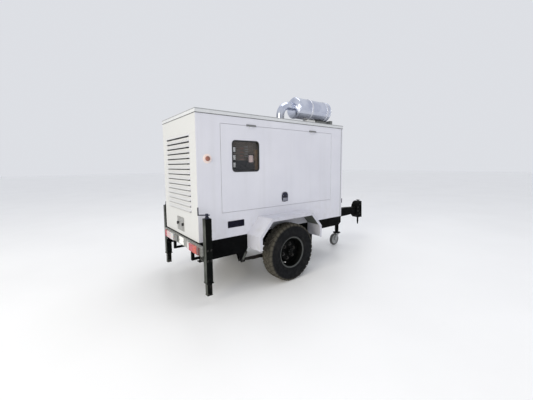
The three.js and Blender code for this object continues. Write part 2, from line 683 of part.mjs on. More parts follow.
/** Silencer shell about the X axis, with an offset inlet hole in its rear end. */
function muffler() {
  const { radius: r, rear, front } = MUFFLER;
  const shell = (cut) => turned([[0, rear - 14 + cut], [r * 0.5, rear - 10 + cut], [r * 0.85, rear + 4 + cut],
    [r - cut, rear + 34], [r - cut, front - 34], [r * 0.85 - cut, front + 8], [r * 0.5, front + 26 - cut],
    [0, front + 32 - cut]], 'x', 22);
  const inlet = bar('x', PIPE.radius + 1.5, rear - 30, rear + 60, [0, PIPE.z - MUFFLER.z], 20);
  return carve([shell(0)], [shell(SHEET), inlet]);
}

/** Pipe that rises through the roof and bends forwards into the silencer. */
function exhaustElbow() {
  const { y, rear } = MUFFLER;
  const low = new THREE.Vector3(PIPE.x, y, PIPE.z - PIPE.bend);
  const corner = new THREE.Vector3(PIPE.x, y, PIPE.z);
  const high = new THREE.Vector3(PIPE.x + PIPE.bend, y, PIPE.z);
  const path = new THREE.CurvePath();
  path.add(new THREE.LineCurve3(new THREE.Vector3(PIPE.x, y, PIPE.joint), low));
  path.add(new THREE.QuadraticBezierCurve3(low, corner, high));
  path.add(new THREE.LineCurve3(high, new THREE.Vector3(rear + 8, y, PIPE.z)));
  const section = new THREE.Shape().absarc(0, 0, PIPE.radius, 0, Math.PI * 2);
  section.holes.push(new THREE.Path().absarc(0, 0, PIPE.radius - 4, 0, Math.PI * 2, true));
  const options = { steps: 9, extrudePath: path, bevelEnabled: false, curveSegments: 7 };
  return new THREE.ExtrudeGeometry(section, options);
}

/** Silencer cradle on the roof: base plate, foot, saddle, end block and two clamp bands. */
function mufflerBracket() {
  const { y, z, radius } = MUFFLER;
  const base = ROOF.top + GAP;
  const top = base + 8;
  const under = z - radius - GAP;
  const parts = [
    box(300, 1370, y - 70, y + 70, base, top),
    box(660, 850, y - 55, y + 55, top - 1, under),
    box(880, 1120, y - 55, y + 55, top - 1, under),
    box(1240, 1300, y - 50, y + 50, top - 1, top + 90),
  ];
  const bands = [];
  for (const x of [680, 1040]) {
    const outer = bar('x', radius + 8, x - 15, x + 15, [y, z], 22);
    bands.push(carve([outer], [bar('x', radius + 4, x - 20, x + 20, [y, z], 22)]));
  }
  return carve([...parts, ...bands]);
}

function buildExhaust() {
  piece('muffler', muffler(), brightSteel, [0, MUFFLER.y, MUFFLER.z]);
  piece('exhaust_elbow', exhaustElbow(), brightSteel);
  piece('muffler_bracket', mufflerBracket(), dullSteel);
}

// ---- machinery inside the canopy ----

/** Diesel engine: crankcase, sump, head, rocker cover, bell housing, manifold and exhaust riser. */
function engine() {
  const { rear, front, shaftZ } = ENGINE;
  const riser = [PIPE.x, MUFFLER.y];
  return carve([
    box(rear + 30, front, -200, 200, 840, 1180),
    box(rear + 70, front - 130, -185, 185, 770, 850),
    box(rear + 50, front - 30, -110, 110, 1170, 1360),
    box(rear + 80, front - 60, -80, 80, 1350, 1410),
    bar('x', 240, rear, rear + 50, [0, shaftZ], 24),
    box(rear + 100, front - 80, -260, -100, 1200, 1260),
    box(60, rear + 110, -430, -200, 1200, 1262),
    bar('z', PIPE.radius, 1250, PIPE.joint - GAP, riser),
    box(565, 635, -300, 300, RAIL.top + GAP, 860),
  ], [
    box(rear + 85, front - 145, -170, 170, 700, 870),
    box(rear + 52, front - 22, -178, 178, 865, 1158),
    box(rear + 75, front - 55, -86, 86, 1150, 1336),
    bar('z', PIPE.radius - 4, 1270, PIPE.joint + 10, riser),
  ]);
}

/** Alternator: round frame open towards the engine, a foot and a terminal box on top. */
function alternator() {
  const rear = -380;
  const front = ENGINE.rear - GAP;
  return carve([
    bar('x', 200, rear, front, [0, ENGINE.shaftZ], 24),
    box(rear + 60, rear + 200, -160, 160, 711.4, 900),
    box(rear + 40, rear + 340, -170, 170, 1180, 1380),
  ], [
    bar('x', 170, rear + 25, front + 10, [0, ENGINE.shaftZ], 24),
    box(rear + 46, rear + 334, -164, 164, 1120, 1374),
  ]);
}

/** Radiator: two header tanks and side plates round a thinner core. */
function radiator() {
  const [rear, front, y, top] = [1150, 1215, 420, 1600];
  const border = 70;
  const setBack = 24;
  const core = [-y + border, y - border, RAIL.top + border, top - border];
  const block = box(rear, front, -y, y, RAIL.top + GAP, top);
  return carve([block], [
    box(rear - 10, rear + setBack, ...core),
    box(front - setBack, front + 10, ...core),
  ]);
}

/** Six-bladed cooling fan about the X axis. */
function coolingFan() {
  const hub = 60;
  const parts = [bar('x', hub, -20, 20, [0, 0], 18)];
  const blades = 6;
  for (let i = 0; i < blades; i += 1) {
    const blade = box(-3, 3, -42, 42, hub - 10, 260).rotateZ(Math.PI / 7);
    parts.push(blade.rotateX((i * Math.PI * 2) / blades));
  }
  return carve(parts);
}

/** Free-standing control cubicle, open at its back. */
function controlCabinet() {
  const [x0, x1, y0, y1, z0, z1] = [-960, -400, -500, -330, 711.4, 2030];
  const hollow = box(x0 + SHEET, x1 - SHEET, y0 + SHEET, y1 + 10, z0 + SHEET, z1 - SHEET);
  return carve([box(x0, x1, y0, y1, z0, z1)], [hollow]);
}

function buildMachinery() {
  piece('engine', engine(), engineIron);
  piece('alternator', alternator(), engineIron);
  piece('radiator', radiator(), coreAluminium);
  piece('cooling_fan', coolingFan(), blackPlastic, [1090, 0, ENGINE.shaftZ + 130]);
  piece('control_cabinet', controlCabinet(), darkPlastic);
  piece('battery', box(690, 1030, -570, -400, RAIL.top + GAP, 930), blackPlastic);
}

buildChassis();
buildCanopy();
buildRunningGear();
buildLights();
buildJacks();
buildJockey();
buildExhaust();
buildMachinery();

export default group;
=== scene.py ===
"""Looks of the towable diesel generator: finishes, tyres, springs, lamps, window, silencer and small trim."""

import math

import bmesh
import bpy
from mathutils import Matrix, Vector


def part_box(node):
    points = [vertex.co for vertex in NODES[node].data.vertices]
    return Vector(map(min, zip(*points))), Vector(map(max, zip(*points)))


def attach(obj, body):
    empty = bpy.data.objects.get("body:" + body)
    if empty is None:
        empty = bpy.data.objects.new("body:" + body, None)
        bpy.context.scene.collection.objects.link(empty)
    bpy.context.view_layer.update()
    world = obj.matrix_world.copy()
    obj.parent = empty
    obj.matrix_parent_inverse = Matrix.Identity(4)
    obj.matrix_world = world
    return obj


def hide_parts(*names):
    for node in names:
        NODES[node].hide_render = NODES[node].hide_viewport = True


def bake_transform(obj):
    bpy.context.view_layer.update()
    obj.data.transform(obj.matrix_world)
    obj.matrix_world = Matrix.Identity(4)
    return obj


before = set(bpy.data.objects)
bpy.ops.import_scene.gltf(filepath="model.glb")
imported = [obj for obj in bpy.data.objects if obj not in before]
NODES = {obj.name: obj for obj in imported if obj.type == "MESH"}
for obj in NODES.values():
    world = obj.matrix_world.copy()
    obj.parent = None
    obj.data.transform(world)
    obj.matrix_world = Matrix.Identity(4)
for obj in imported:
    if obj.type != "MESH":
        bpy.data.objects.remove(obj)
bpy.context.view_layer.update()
SIDES = (("near", -1), ("far", 1))


# ---- places taken from the frame ----


def middle(node):
    """Centre of a CAD node's box."""
    low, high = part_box(node)
    return (low + high) / 2


CENTRE_X = middle("roof").x
CANOPY_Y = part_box("side_frame_far")[1].y
WHEEL_HUBS = {side: middle(f"tyre_{side}") for side, _ in SIDES}
TYRE_RADIUS = WHEEL_HUBS["near"].z
TYRE_HALF_WIDTH = (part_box("tyre_far")[1].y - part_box("tyre_far")[0].y) / 2


# ---- materials ----


class Recipe:
    """One procedural material, built up layer by layer on a Principled shader."""

    def __init__(self, name, roughness, metallic=0.0):
        self.material = bpy.data.materials.new(name)
        self.material.use_nodes = True
        self.tree = self.material.node_tree
        self.shader = self.tree.nodes["Principled BSDF"]
        self.shader.inputs["Metallic"].default_value = metallic
        self.shader.inputs["Roughness"].default_value = roughness
        self.place = self.add("ShaderNodeTexCoord").outputs["Object"]
        self.color = None
        self.normal = None

    def add(self, kind):
        return self.tree.nodes.new(kind)

    def feed(self, socket, value):
        """Links another node's output to a socket, or sets the socket's own value."""
        if isinstance(value, bpy.types.NodeSocket):
            self.tree.links.new(value, socket)
        elif socket.type == "RGBA":
            socket.default_value = (*value, 1.0)
        else:
            socket.default_value = value

    def ranged(self, value, low, high, out_low=0.0, out_high=1.0):
        """The value's stretch from low to high, as out_low to out_high."""
        node = self.add("ShaderNodeMapRange")
        self.feed(node.inputs["Value"], value)
        for name, end in (("From Min", low), ("From Max", high), ("To Min", out_low), ("To Max", out_high)):
            node.inputs[name].default_value = end
        return node.outputs["Result"]

    def texture(self, kind, scale, stretch):
        """A texture of that many features per metre, squeezed along each axis by stretch."""
        mapping = self.add("ShaderNodeMapping")
        mapping.inputs["Scale"].default_value = stretch
        self.feed(mapping.inputs["Vector"], self.place)
        node = self.add(kind)
        node.inputs["Scale"].default_value = scale
        self.feed(node.inputs["Vector"], mapping.outputs["Vector"])
        return node

    def noise(self, scale, low=0.35, high=0.65, detail=5.0, stretch=(1, 1, 1)):
        """Cloudy mask from 0 to 1."""
        node = self.texture("ShaderNodeTexNoise", scale, stretch)
        node.inputs["Detail"].default_value = detail
        return self.ranged(node.outputs["Fac"], low, high)

    def cells(self, scale, low, high, stretch=(1, 1, 1)):
        """Mask of small spots: 1 at the middle of each cell."""
        node = self.texture("ShaderNodeTexVoronoi", scale, stretch)
        return self.ranged(node.outputs["Distance"], high, low)

    def part(self, vector, axis, low, high):
        """0 at low and 1 at high of one component of a vector."""
        split = self.add("ShaderNodeSeparateXYZ")
        self.feed(split.inputs[0], vector)
        return self.ranged(split.outputs["XYZ".index(axis)], low, high)

    def height(self, low, high):
        """0 at one height and 1 at the other, in metres."""
        return self.part(self.place, "Z", low, high)

    def faces_up(self, low=0.5, high=0.95):
        """Mask of the surfaces that look upwards, where dust settles."""
        return self.part(self.add("ShaderNodeNewGeometry").outputs["Normal"], "Z", low, high)

    def faces_tail(self):
        """Mask of the surfaces that look towards the tail, where the key light falls; it carries painted
        light and painted shade.
        """
        return self.part(self.add("ShaderNodeNewGeometry").outputs["Normal"], "X", -0.6, -0.9)

    def times(self, first, second):
        node = self.add("ShaderNodeMath")
        node.operation = "MULTIPLY"
        node.use_clamp = True
        self.feed(node.inputs[0], first)
        self.feed(node.inputs[1], second)
        return node.outputs[0]

    def mixed(self, mask, under, over):
        node = self.add("ShaderNodeMix")
        node.data_type = "RGBA"
        self.feed(node.inputs[0], mask)
        self.feed(node.inputs[6], under)
        self.feed(node.inputs[7], over)
        return node.outputs[2]

    def ground(self, darker, lighter, mask):
        """The first colour layer: two tones of one finish. A plain number means noise of that scale."""
        self.color = self.mixed(self.noise(mask) if isinstance(mask, (int, float)) else mask, darker, lighter)

    def layer(self, color, mask, share=1.0):
        """Another colour over the last, where the mask and the share, a mask or a number, are both high."""
        self.color = self.mixed(self.times(mask, share), self.color, color)

    def gloss(self, scale, smooth, rough, **options):
        """Roughness between two values, in patches."""
        patches = self.noise(scale, **options)
        self.feed(self.shader.inputs["Roughness"], self.ranged(patches, 0.0, 1.0, smooth, rough))

    def relief(self, height, depth, strength):
        """Relief of that depth in metres, on top of any relief already there."""
        node = self.add("ShaderNodeBump")
        node.inputs["Strength"].default_value = strength
        node.inputs["Distance"].default_value = depth
        self.feed(node.inputs["Height"], height)
        if self.normal is not None:
            self.feed(node.inputs["Normal"], self.normal)
        self.normal = node.outputs["Normal"]

    def grain(self, scale, depth, strength, **options):
        """Relief from cloudy noise."""
        self.relief(self.noise(scale, 0.2, 0.8, **options), depth, strength)

    def done(self, **values):
        """Sets plain values on the shader's own sockets and returns the material."""
        for name, value in values.items():
            self.feed(self.shader.inputs[name.replace("_", " ")], value)
        self.feed(self.shader.inputs["Base Color"], self.color)
        if self.normal is not None:
            self.feed(self.shader.inputs["Normal"], self.normal)
        return self.material


def canopy_paint():
    """White powder coat: waviness, orange peel, rain streaks, dust low down, and painted shade on the faces
    towards the tail: greyer and less blue to tone down the key light there.
    """
    r = Recipe("canopy_paint", 0.42)
    r.ground((0.655, 0.660, 0.725), (0.700, 0.705, 0.765), 1.6)
    r.layer((0.61, 0.615, 0.66), r.noise(9, 0.50, 0.72, stretch=(1, 1, 0.06)), 0.35)
    r.layer((0.52, 0.50, 0.47), r.times(r.height(1.15, 0.70), r.noise(14, 0.42, 0.75)), 0.35)
    r.layer((0.60, 0.59, 0.57), r.faces_up(), r.noise(20, 0.3, 0.8))
    # painted shade: faces towards the tail greyer and less blue, toning down the key light
    r.layer((0.585, 0.592, 0.585), r.faces_tail(), 0.9)
    r.gloss(30, 0.46, 0.62)
    r.grain(2.2, 0.004, 0.25, detail=1.0)
    r.grain(900, 0.0002, 0.35, detail=2.0)
    return r.done(Coat_Weight=0.08, Coat_Roughness=0.4, Specular_IOR_Level=0.35)


def roof_paint():
    """Grey-white paint of the roof cap, duller where dust settles."""
    r = Recipe("roof_paint", 0.5)
    r.ground((0.600, 0.615, 0.635), (0.655, 0.670, 0.690), 1.8)
    r.layer((0.47, 0.475, 0.47), r.faces_up(), r.noise(9, 0.4, 0.8))
    r.layer((0.50, 0.51, 0.52), r.noise(12, 0.52, 0.75, stretch=(1, 1, 0.08)), 0.4)
    r.gloss(28, 0.40, 0.60)
    r.grain(2.0, 0.004, 0.2, detail=1.0)
    return r.done(Coat_Weight=0.1, Coat_Roughness=0.3)


def shaded_fender_paint():
    """White mudguard paint, greyed by spray, painted darker and bluer than the canopy as painted shade, with
    painted shade on the faces that look down.
    """
    r = Recipe("shaded_fender_paint", 0.5)
    # painted shade: a darker, bluer copy of the canopy's white paint
    r.ground((0.505, 0.512, 0.575), (0.565, 0.572, 0.635), 2.4)
    r.layer((0.44, 0.44, 0.45), r.noise(11, 0.48, 0.75), 0.5)
    # painted shade: the faces that look down are near black
    r.layer((0.10, 0.11, 0.10), r.faces_up(-0.25, -0.6))
    r.gloss(26, 0.40, 0.62)
    r.grain(300, 0.0003, 0.4)
    return r.done(Coat_Weight=0.1, Coat_Roughness=0.3)


def chassis_paint():
    """Black chassis enamel with dust film, grey and olive splashes, and painted light on the faces towards
    the tail.
    """
    r = Recipe("chassis_paint", 0.45)
    r.ground((0.0018, 0.0020, 0.0023), (0.0034, 0.0037, 0.0041), 6)
    r.layer((0.010, 0.010, 0.008), r.noise(26, 0.58, 0.74), 0.45)
    r.layer((0.03, 0.03, 0.028), r.cells(120, 0.03, 0.10), r.noise(9, 0.52, 0.7))
    r.layer((0.040, 0.038, 0.033), r.faces_up(), r.noise(18, 0.35, 0.75))
    # painted light: faces towards the tail lighter where the key light falls
    r.layer((0.0060, 0.0062, 0.0054), r.faces_tail(), r.noise(12, 0.15, 0.6))
    r.gloss(16, 0.45, 0.75)
    r.grain(240, 0.0004, 0.4, detail=3.0)
    return r.done(Specular_IOR_Level=0.04)


def jack_paint():
    """Black-green hammered enamel, painted light grey on the faces towards the tail where the key light
    falls, and dusty at the foot.
    """
    r = Recipe("jack_paint", 0.4)
    r.ground((0.0016, 0.0022, 0.0020), (0.0032, 0.0040, 0.0037), 11)
    r.layer((0.014, 0.017, 0.015), r.noise(34, 0.60, 0.72), 0.4)
    # painted light: faces towards the tail light grey where the key light falls
    r.layer((0.085, 0.092, 0.083), r.faces_tail(), r.noise(9, 0.1, 0.6))
    r.layer((0.09, 0.085, 0.075), r.height(0.35, 0.1), r.noise(20, 0.45, 0.75))
    r.gloss(22, 0.32, 0.6)
    r.relief(r.cells(160, 0.0, 0.6), 0.0004, 0.5)
    return r.done(Specular_IOR_Level=0.05)


def navy_enamel():
    """Dark blue-black enamel with fine texture and rubbed patches."""
    r = Recipe("navy_enamel", 0.38)
    r.ground((0.0035, 0.005, 0.018), (0.007, 0.009, 0.028), 18)
    r.layer((0.05, 0.055, 0.08), r.noise(60, 0.62, 0.72), 0.5)
    r.gloss(45, 0.25, 0.5)
    r.grain(700, 0.0002, 0.5)
    return r.done(Specular_IOR_Level=0.3, Coat_Weight=0.12, Coat_Roughness=0.15)


def dull_zinc():
    """Zinc plate: crystalline mottling, stains and fine rolling lines."""
    r = Recipe("dull_zinc", 0.5, 0.75)
    r.ground((0.36, 0.36, 0.35), (0.50, 0.50, 0.48), r.cells(70, 0.1, 0.7))
    r.layer((0.26, 0.25, 0.22), r.noise(13, 0.52, 0.75), 0.6)
    r.layer((0.40, 0.38, 0.33), r.faces_up(), r.noise(22))
    r.gloss(38, 0.38, 0.62)
    r.grain(180, 0.0002, 0.4, stretch=(1, 1, 12))
    return r.done()


def pale_grey_paint():
    """Light grey enamel of the small fittings, rubbed and dusty."""
    r = Recipe("pale_grey_paint", 0.45)
    r.ground((0.30, 0.31, 0.31), (0.42, 0.43, 0.43), 24)
    r.layer((0.12, 0.11, 0.10), r.noise(48, 0.62, 0.74), 0.7)
    r.gloss(30, 0.35, 0.65)
    r.grain(400, 0.0003, 0.4)
    return r.done()


def polished_steel():
    """Brushed stainless with fine lines round the shell, tinted blue as painted reflection and darker on its
    lower part as painted shade.
    """
    around = (60, 1, 1)
    r = Recipe("polished_steel", 0.22, 1.0)
    # painted reflection: the steel's blue tint and blue mottle stand in for reflected blue light
    r.ground((0.50, 0.53, 0.64), (0.68, 0.71, 0.80), 5)
    r.layer((0.44, 0.48, 0.60), r.noise(7, 0.5, 0.7), 0.25)
    # painted shade: the lower part of the shell is darker
    r.layer((0.34, 0.35, 0.38), r.height(2.50, 2.37), r.noise(6, 0.05, 0.45))
    r.gloss(9, 0.10, 0.24, stretch=around)
    r.grain(14, 0.0003, 0.3, stretch=around)
    return r.done()


def bolt_steel(name, dark, light, metallic=1.0):
    """Bare, plated or painted steel of fasteners and worn edges, stained with dirt."""
    r = Recipe(name, 0.35, metallic)
    r.ground(dark, light, 90)
    r.layer((0.10, 0.075, 0.05), r.noise(50, 0.6, 0.75), 0.8)
    r.gloss(120, 0.25, 0.6)
    r.grain(600, 0.0002, 0.5)
    return r.done()


def rusty_spring():
    """Oiled spring steel gone brown, with scale between the leaves."""
    r = Recipe("rusty_spring", 0.6, 0.3)
    r.ground((0.008, 0.007, 0.0065), (0.020, 0.017, 0.014), 30)
    r.layer((0.055, 0.026, 0.014), r.noise(17, 0.55, 0.72), 0.6)
    r.layer((0.08, 0.075, 0.065), r.faces_up(), r.noise(40, 0.4, 0.7))
    r.gloss(45, 0.42, 0.8)
    r.grain(260, 0.0007, 0.6)
    return r.done()


def dusty_tyre():
    """Tread and walls of a road tyre: bluish black walls, brown-grey dust on the crown."""
    r = Recipe("dusty_tyre", 0.8)
    r.ground((0.0042, 0.0047, 0.0055), (0.0075, 0.0080, 0.0096), 14)
    r.layer((0.082, 0.076, 0.062), tread_mask(r), r.noise(16, 0.05, 0.45))
    r.layer((0.026, 0.025, 0.023), r.noise(8, 0.50, 0.75), 0.35)
    r.gloss(26, 0.55, 0.85)
    r.grain(320, 0.0006, 0.5)
    return r.done(Specular_IOR_Level=0.12)


def tread_mask(r):
    """1 on the crown and shoulders of the tyre and 0 on its walls, by distance from the wheel's centre."""
    offset = r.add("ShaderNodeVectorMath")
    offset.operation = "MULTIPLY_ADD"
    r.feed(offset.inputs[0], r.place)
    offset.inputs[1].default_value = (1, 0, 1)
    offset.inputs[2].default_value = (-WHEEL_HUBS["near"].x, 0, -WHEEL_HUBS["near"].z)
    length = r.add("ShaderNodeVectorMath")
    length.operation = "LENGTH"
    r.feed(length.inputs[0], offset.outputs[0])
    return r.ranged(length.outputs["Value"], TYRE_RADIUS * 0.90, TYRE_RADIUS * 0.965)


def rim_paint():
    """Dark wheel paint under a film of brake and road dust."""
    r = Recipe("rim_paint", 0.5)
    r.ground((0.0012, 0.0015, 0.0014), (0.0028, 0.0034, 0.0032), 16)
    r.layer((0.009, 0.0093, 0.0087), r.noise(10, 0.50, 0.74), 0.6)
    r.layer((0.012, 0.008, 0.005), r.noise(36, 0.62, 0.74), 0.6)
    r.gloss(20, 0.36, 0.68)
    r.grain(300, 0.0005, 0.5)
    return r.done(Specular_IOR_Level=0.06)


def rubber(name, dark, light, roughness=0.7):
    """Moulded rubber with a dusty bloom."""
    r = Recipe(name, roughness)
    r.ground(dark, light, 40)
    bloom = tuple(min(1.0, c * 1.8 + 0.02) for c in light)
    r.layer(bloom, r.noise(18, 0.55, 0.75), 0.5)
    r.gloss(60, roughness - 0.12, roughness + 0.12)
    r.grain(500, 0.0003, 0.5)
    return r.done()


def moulded(name, dark, light, roughness=0.4, **values):
    """Moulded plastic with a fine spark-eroded grain."""
    r = Recipe(name, roughness)
    r.ground(dark, light, 25)
    r.gloss(70, roughness - 0.08, roughness + 0.12)
    r.relief(r.cells(1400, 0.0, 0.7), 0.0001, 0.4)
    return r.done(**values)


def lens(name, deep, bright):
    """Coloured lamp lens: depth from the prisms moulded inside, under a clear skin."""
    r = Recipe(name, 0.18)
    r.ground(deep, bright, r.cells(150, 0.05, 0.55, stretch=(1, 1, 0.6)))
    r.layer(tuple(c * 0.55 for c in deep), r.noise(30, 0.55, 0.75), 0.35)
    r.gloss(40, 0.10, 0.28)
    r.relief(r.cells(150, 0.0, 0.5), 0.0006, 0.35)
    return r.done(Coat_Weight=0.8, Coat_Roughness=0.05, Subsurface_Weight=0.15, Subsurface_Scale=0.01)


def tinted_glass():
    """Tinted window: mostly clear, with a slight film of dust and drying marks."""
    r = Recipe("tinted_glass", 0.04)
    r.ground((0.35, 0.37, 0.40), (0.45, 0.46, 0.48), 6)
    r.gloss(11, 0.02, 0.16, low=0.45, high=0.8)
    return r.done(Transmission_Weight=1.0, IOR=1.45, Alpha=0.55)


def engine_enamel():
    """Cast iron under green enamel, oily in the corners."""
    r = Recipe("engine_enamel", 0.42)
    r.ground((0.035, 0.085, 0.060), (0.055, 0.125, 0.090), 9)
    r.layer((0.030, 0.028, 0.024), r.noise(14, 0.56, 0.72), 0.8)
    r.layer((0.17, 0.16, 0.14), r.faces_up(), r.noise(25))
    r.gloss(18, 0.25, 0.6)
    r.grain(160, 0.0012, 0.5)
    return r.done()


def radiator_core():
    """Dark finned core: close vertical fins and cross tubes."""
    r = Recipe("radiator_core", 0.5, 0.6)
    r.ground((0.030, 0.033, 0.036), (0.075, 0.080, 0.085), 9)
    wave = r.add("ShaderNodeTexWave")
    wave.bands_direction = "Y"
    wave.inputs["Scale"].default_value = 60
    r.feed(wave.inputs["Vector"], r.place)
    r.layer((0.012, 0.012, 0.013), wave.outputs["Fac"], 0.7)
    r.gloss(30, 0.4, 0.7)
    r.relief(wave.outputs["Fac"], 0.003, 0.7)
    return r.done()


def lit_face(name, color, strength):
    """Small lit face: display or meter, slightly uneven as printed film is."""
    r = Recipe(name, 0.35)
    r.ground(tuple(c * 0.82 for c in color), color, 160)
    r.gloss(90, 0.25, 0.45)
    r.grain(700, 0.0001, 0.3)
    return r.done(Emission_Color=color, Emission_Strength=strength)


CANOPY, ROOF, FENDER = canopy_paint(), roof_paint(), shaded_fender_paint()
CHASSIS, JACK, RIM, TYRE = chassis_paint(), jack_paint(), rim_paint(), dusty_tyre()
NAVY, ZINC, PALE_GREY, STEEL = navy_enamel(), dull_zinc(), pale_grey_paint(), polished_steel()
SPRING, GLASS, ENGINE, CORE = rusty_spring(), tinted_glass(), engine_enamel(), radiator_core()
BOLT = bolt_steel("bolt_steel", (0.30, 0.29, 0.27), (0.56, 0.56, 0.55))
DARK_BOLT = bolt_steel("dark_bolt", (0.020, 0.020, 0.020), (0.070, 0.068, 0.064))
RIM_EDGE = bolt_steel("rim_edge", (0.030, 0.034, 0.033), (0.055, 0.060, 0.057), 0.0)
HINGE_GREY = bolt_steel("hinge_grey", (0.15, 0.155, 0.16), (0.215, 0.22, 0.225), 0.2)
SHACKLE_GREY = bolt_steel("shackle_grey", (0.060, 0.066, 0.058), (0.095, 0.102, 0.090), 0.0)
BRIGHT_BAND = bolt_steel("bright_band", (0.66, 0.67, 0.72), (0.82, 0.83, 0.88))
BOARD_GREY = bolt_steel("board_grey", (0.20, 0.205, 0.195), (0.29, 0.295, 0.28), 0.0)
SADDLE_GREY = bolt_steel("saddle_grey", (0.13, 0.135, 0.13), (0.20, 0.205, 0.20), 0.0)
GASKET = rubber("gasket_rubber", (0.010, 0.010, 0.011), (0.022, 0.022, 0.024), 0.55)
GREY_TYRE = rubber("grey_rubber", (0.060, 0.060, 0.058), (0.095, 0.095, 0.092))
FOAM = rubber("acoustic_foam", (0.018, 0.018, 0.019), (0.035, 0.035, 0.036), 0.9)
PLATE_NAVY = moulded("plate_navy", (0.0022, 0.0026, 0.010), (0.0040, 0.0046, 0.016), 0.45,
                     Specular_IOR_Level=0.15)
COLLAR = moulded("band_white", (0.72, 0.72, 0.71), (0.82, 0.82, 0.81), 0.35)
PANEL_DARK = moulded("panel_dark", (0.012, 0.012, 0.014), (0.022, 0.022, 0.025), 0.5)
BLACK_PLASTIC = moulded("black_plastic", (0.012, 0.012, 0.013), (0.026, 0.026, 0.028), 0.42)
PANEL_PLASTIC = moulded("panel_plastic", (0.120, 0.096, 0.076), (0.190, 0.152, 0.118), 0.5)
# painted reflection: brown of the strip that stands in for a warm glint through the window
WARM_GLINT_BROWN = moulded("painted_glint_brown", (0.20, 0.115, 0.050), (0.30, 0.180, 0.085), 0.5)
STOP_RED = moulded("stop_red", (0.20, 0.065, 0.042), (0.30, 0.105, 0.072), 0.3, Coat_Weight=0.4)
STOP_RING = moulded("stop_ring", (0.82, 0.68, 0.63), (0.88, 0.76, 0.72), 0.4)
ROOF_SEAL = moulded("roof_seal", (0.055, 0.057, 0.060), (0.085, 0.088, 0.092), 0.6)
ROOF_TRIM = moulded("roof_trim", (0.30, 0.31, 0.32), (0.38, 0.39, 0.40), 0.5)
LATCH_LOWER = moulded("latch_lower", (0.17, 0.175, 0.215), (0.24, 0.245, 0.29), 0.4)
PLATE_WHITE = moulded("plate_white", (0.80, 0.80, 0.78), (0.90, 0.90, 0.88), 0.3, Coat_Weight=0.4)
LENS_RED = lens("lens_red", (0.34, 0.026, 0.045), (0.52, 0.075, 0.10))
LENS_PINK = lens("lens_pink", (0.50, 0.36, 0.37), (0.70, 0.55, 0.56))
LENS_ORANGE = lens("lens_orange", (0.42, 0.034, 0.012), (0.60, 0.075, 0.025))
LENS_AMBER = lens("lens_amber", (0.085, 0.012, 0.008), (0.15, 0.022, 0.012))
LENS_CLEAR = lens("lens_clear", (0.52, 0.50, 0.51), (0.70, 0.68, 0.69))
METER_FACE = lit_face("meter_face", (0.80, 0.80, 0.78), 0.35)
DISPLAY_FACE = lit_face("display_face", (0.80, 0.62, 0.58), 0.30)
LED_RED = lit_face("led_red", (0.45, 0.16, 0.11), 0.10)


# ---- mesh helpers ----


def in_axes(axis, along, a, b):
    """Point at a distance along one axis, with the other two coordinates in their order."""
    return {"X": (along, a, b), "Y": (a, along, b), "Z": (a, b, along)}[axis]


def to_axis(axis, radius, angle, along):
    """Point at a radius and angle about an axis through the origin, at that distance along it."""
    u, v = radius * math.cos(angle), radius * math.sin(angle)
    return {"X": (along, u, v), "Y": (v, along, u), "Z": (u, v, along)}[axis]


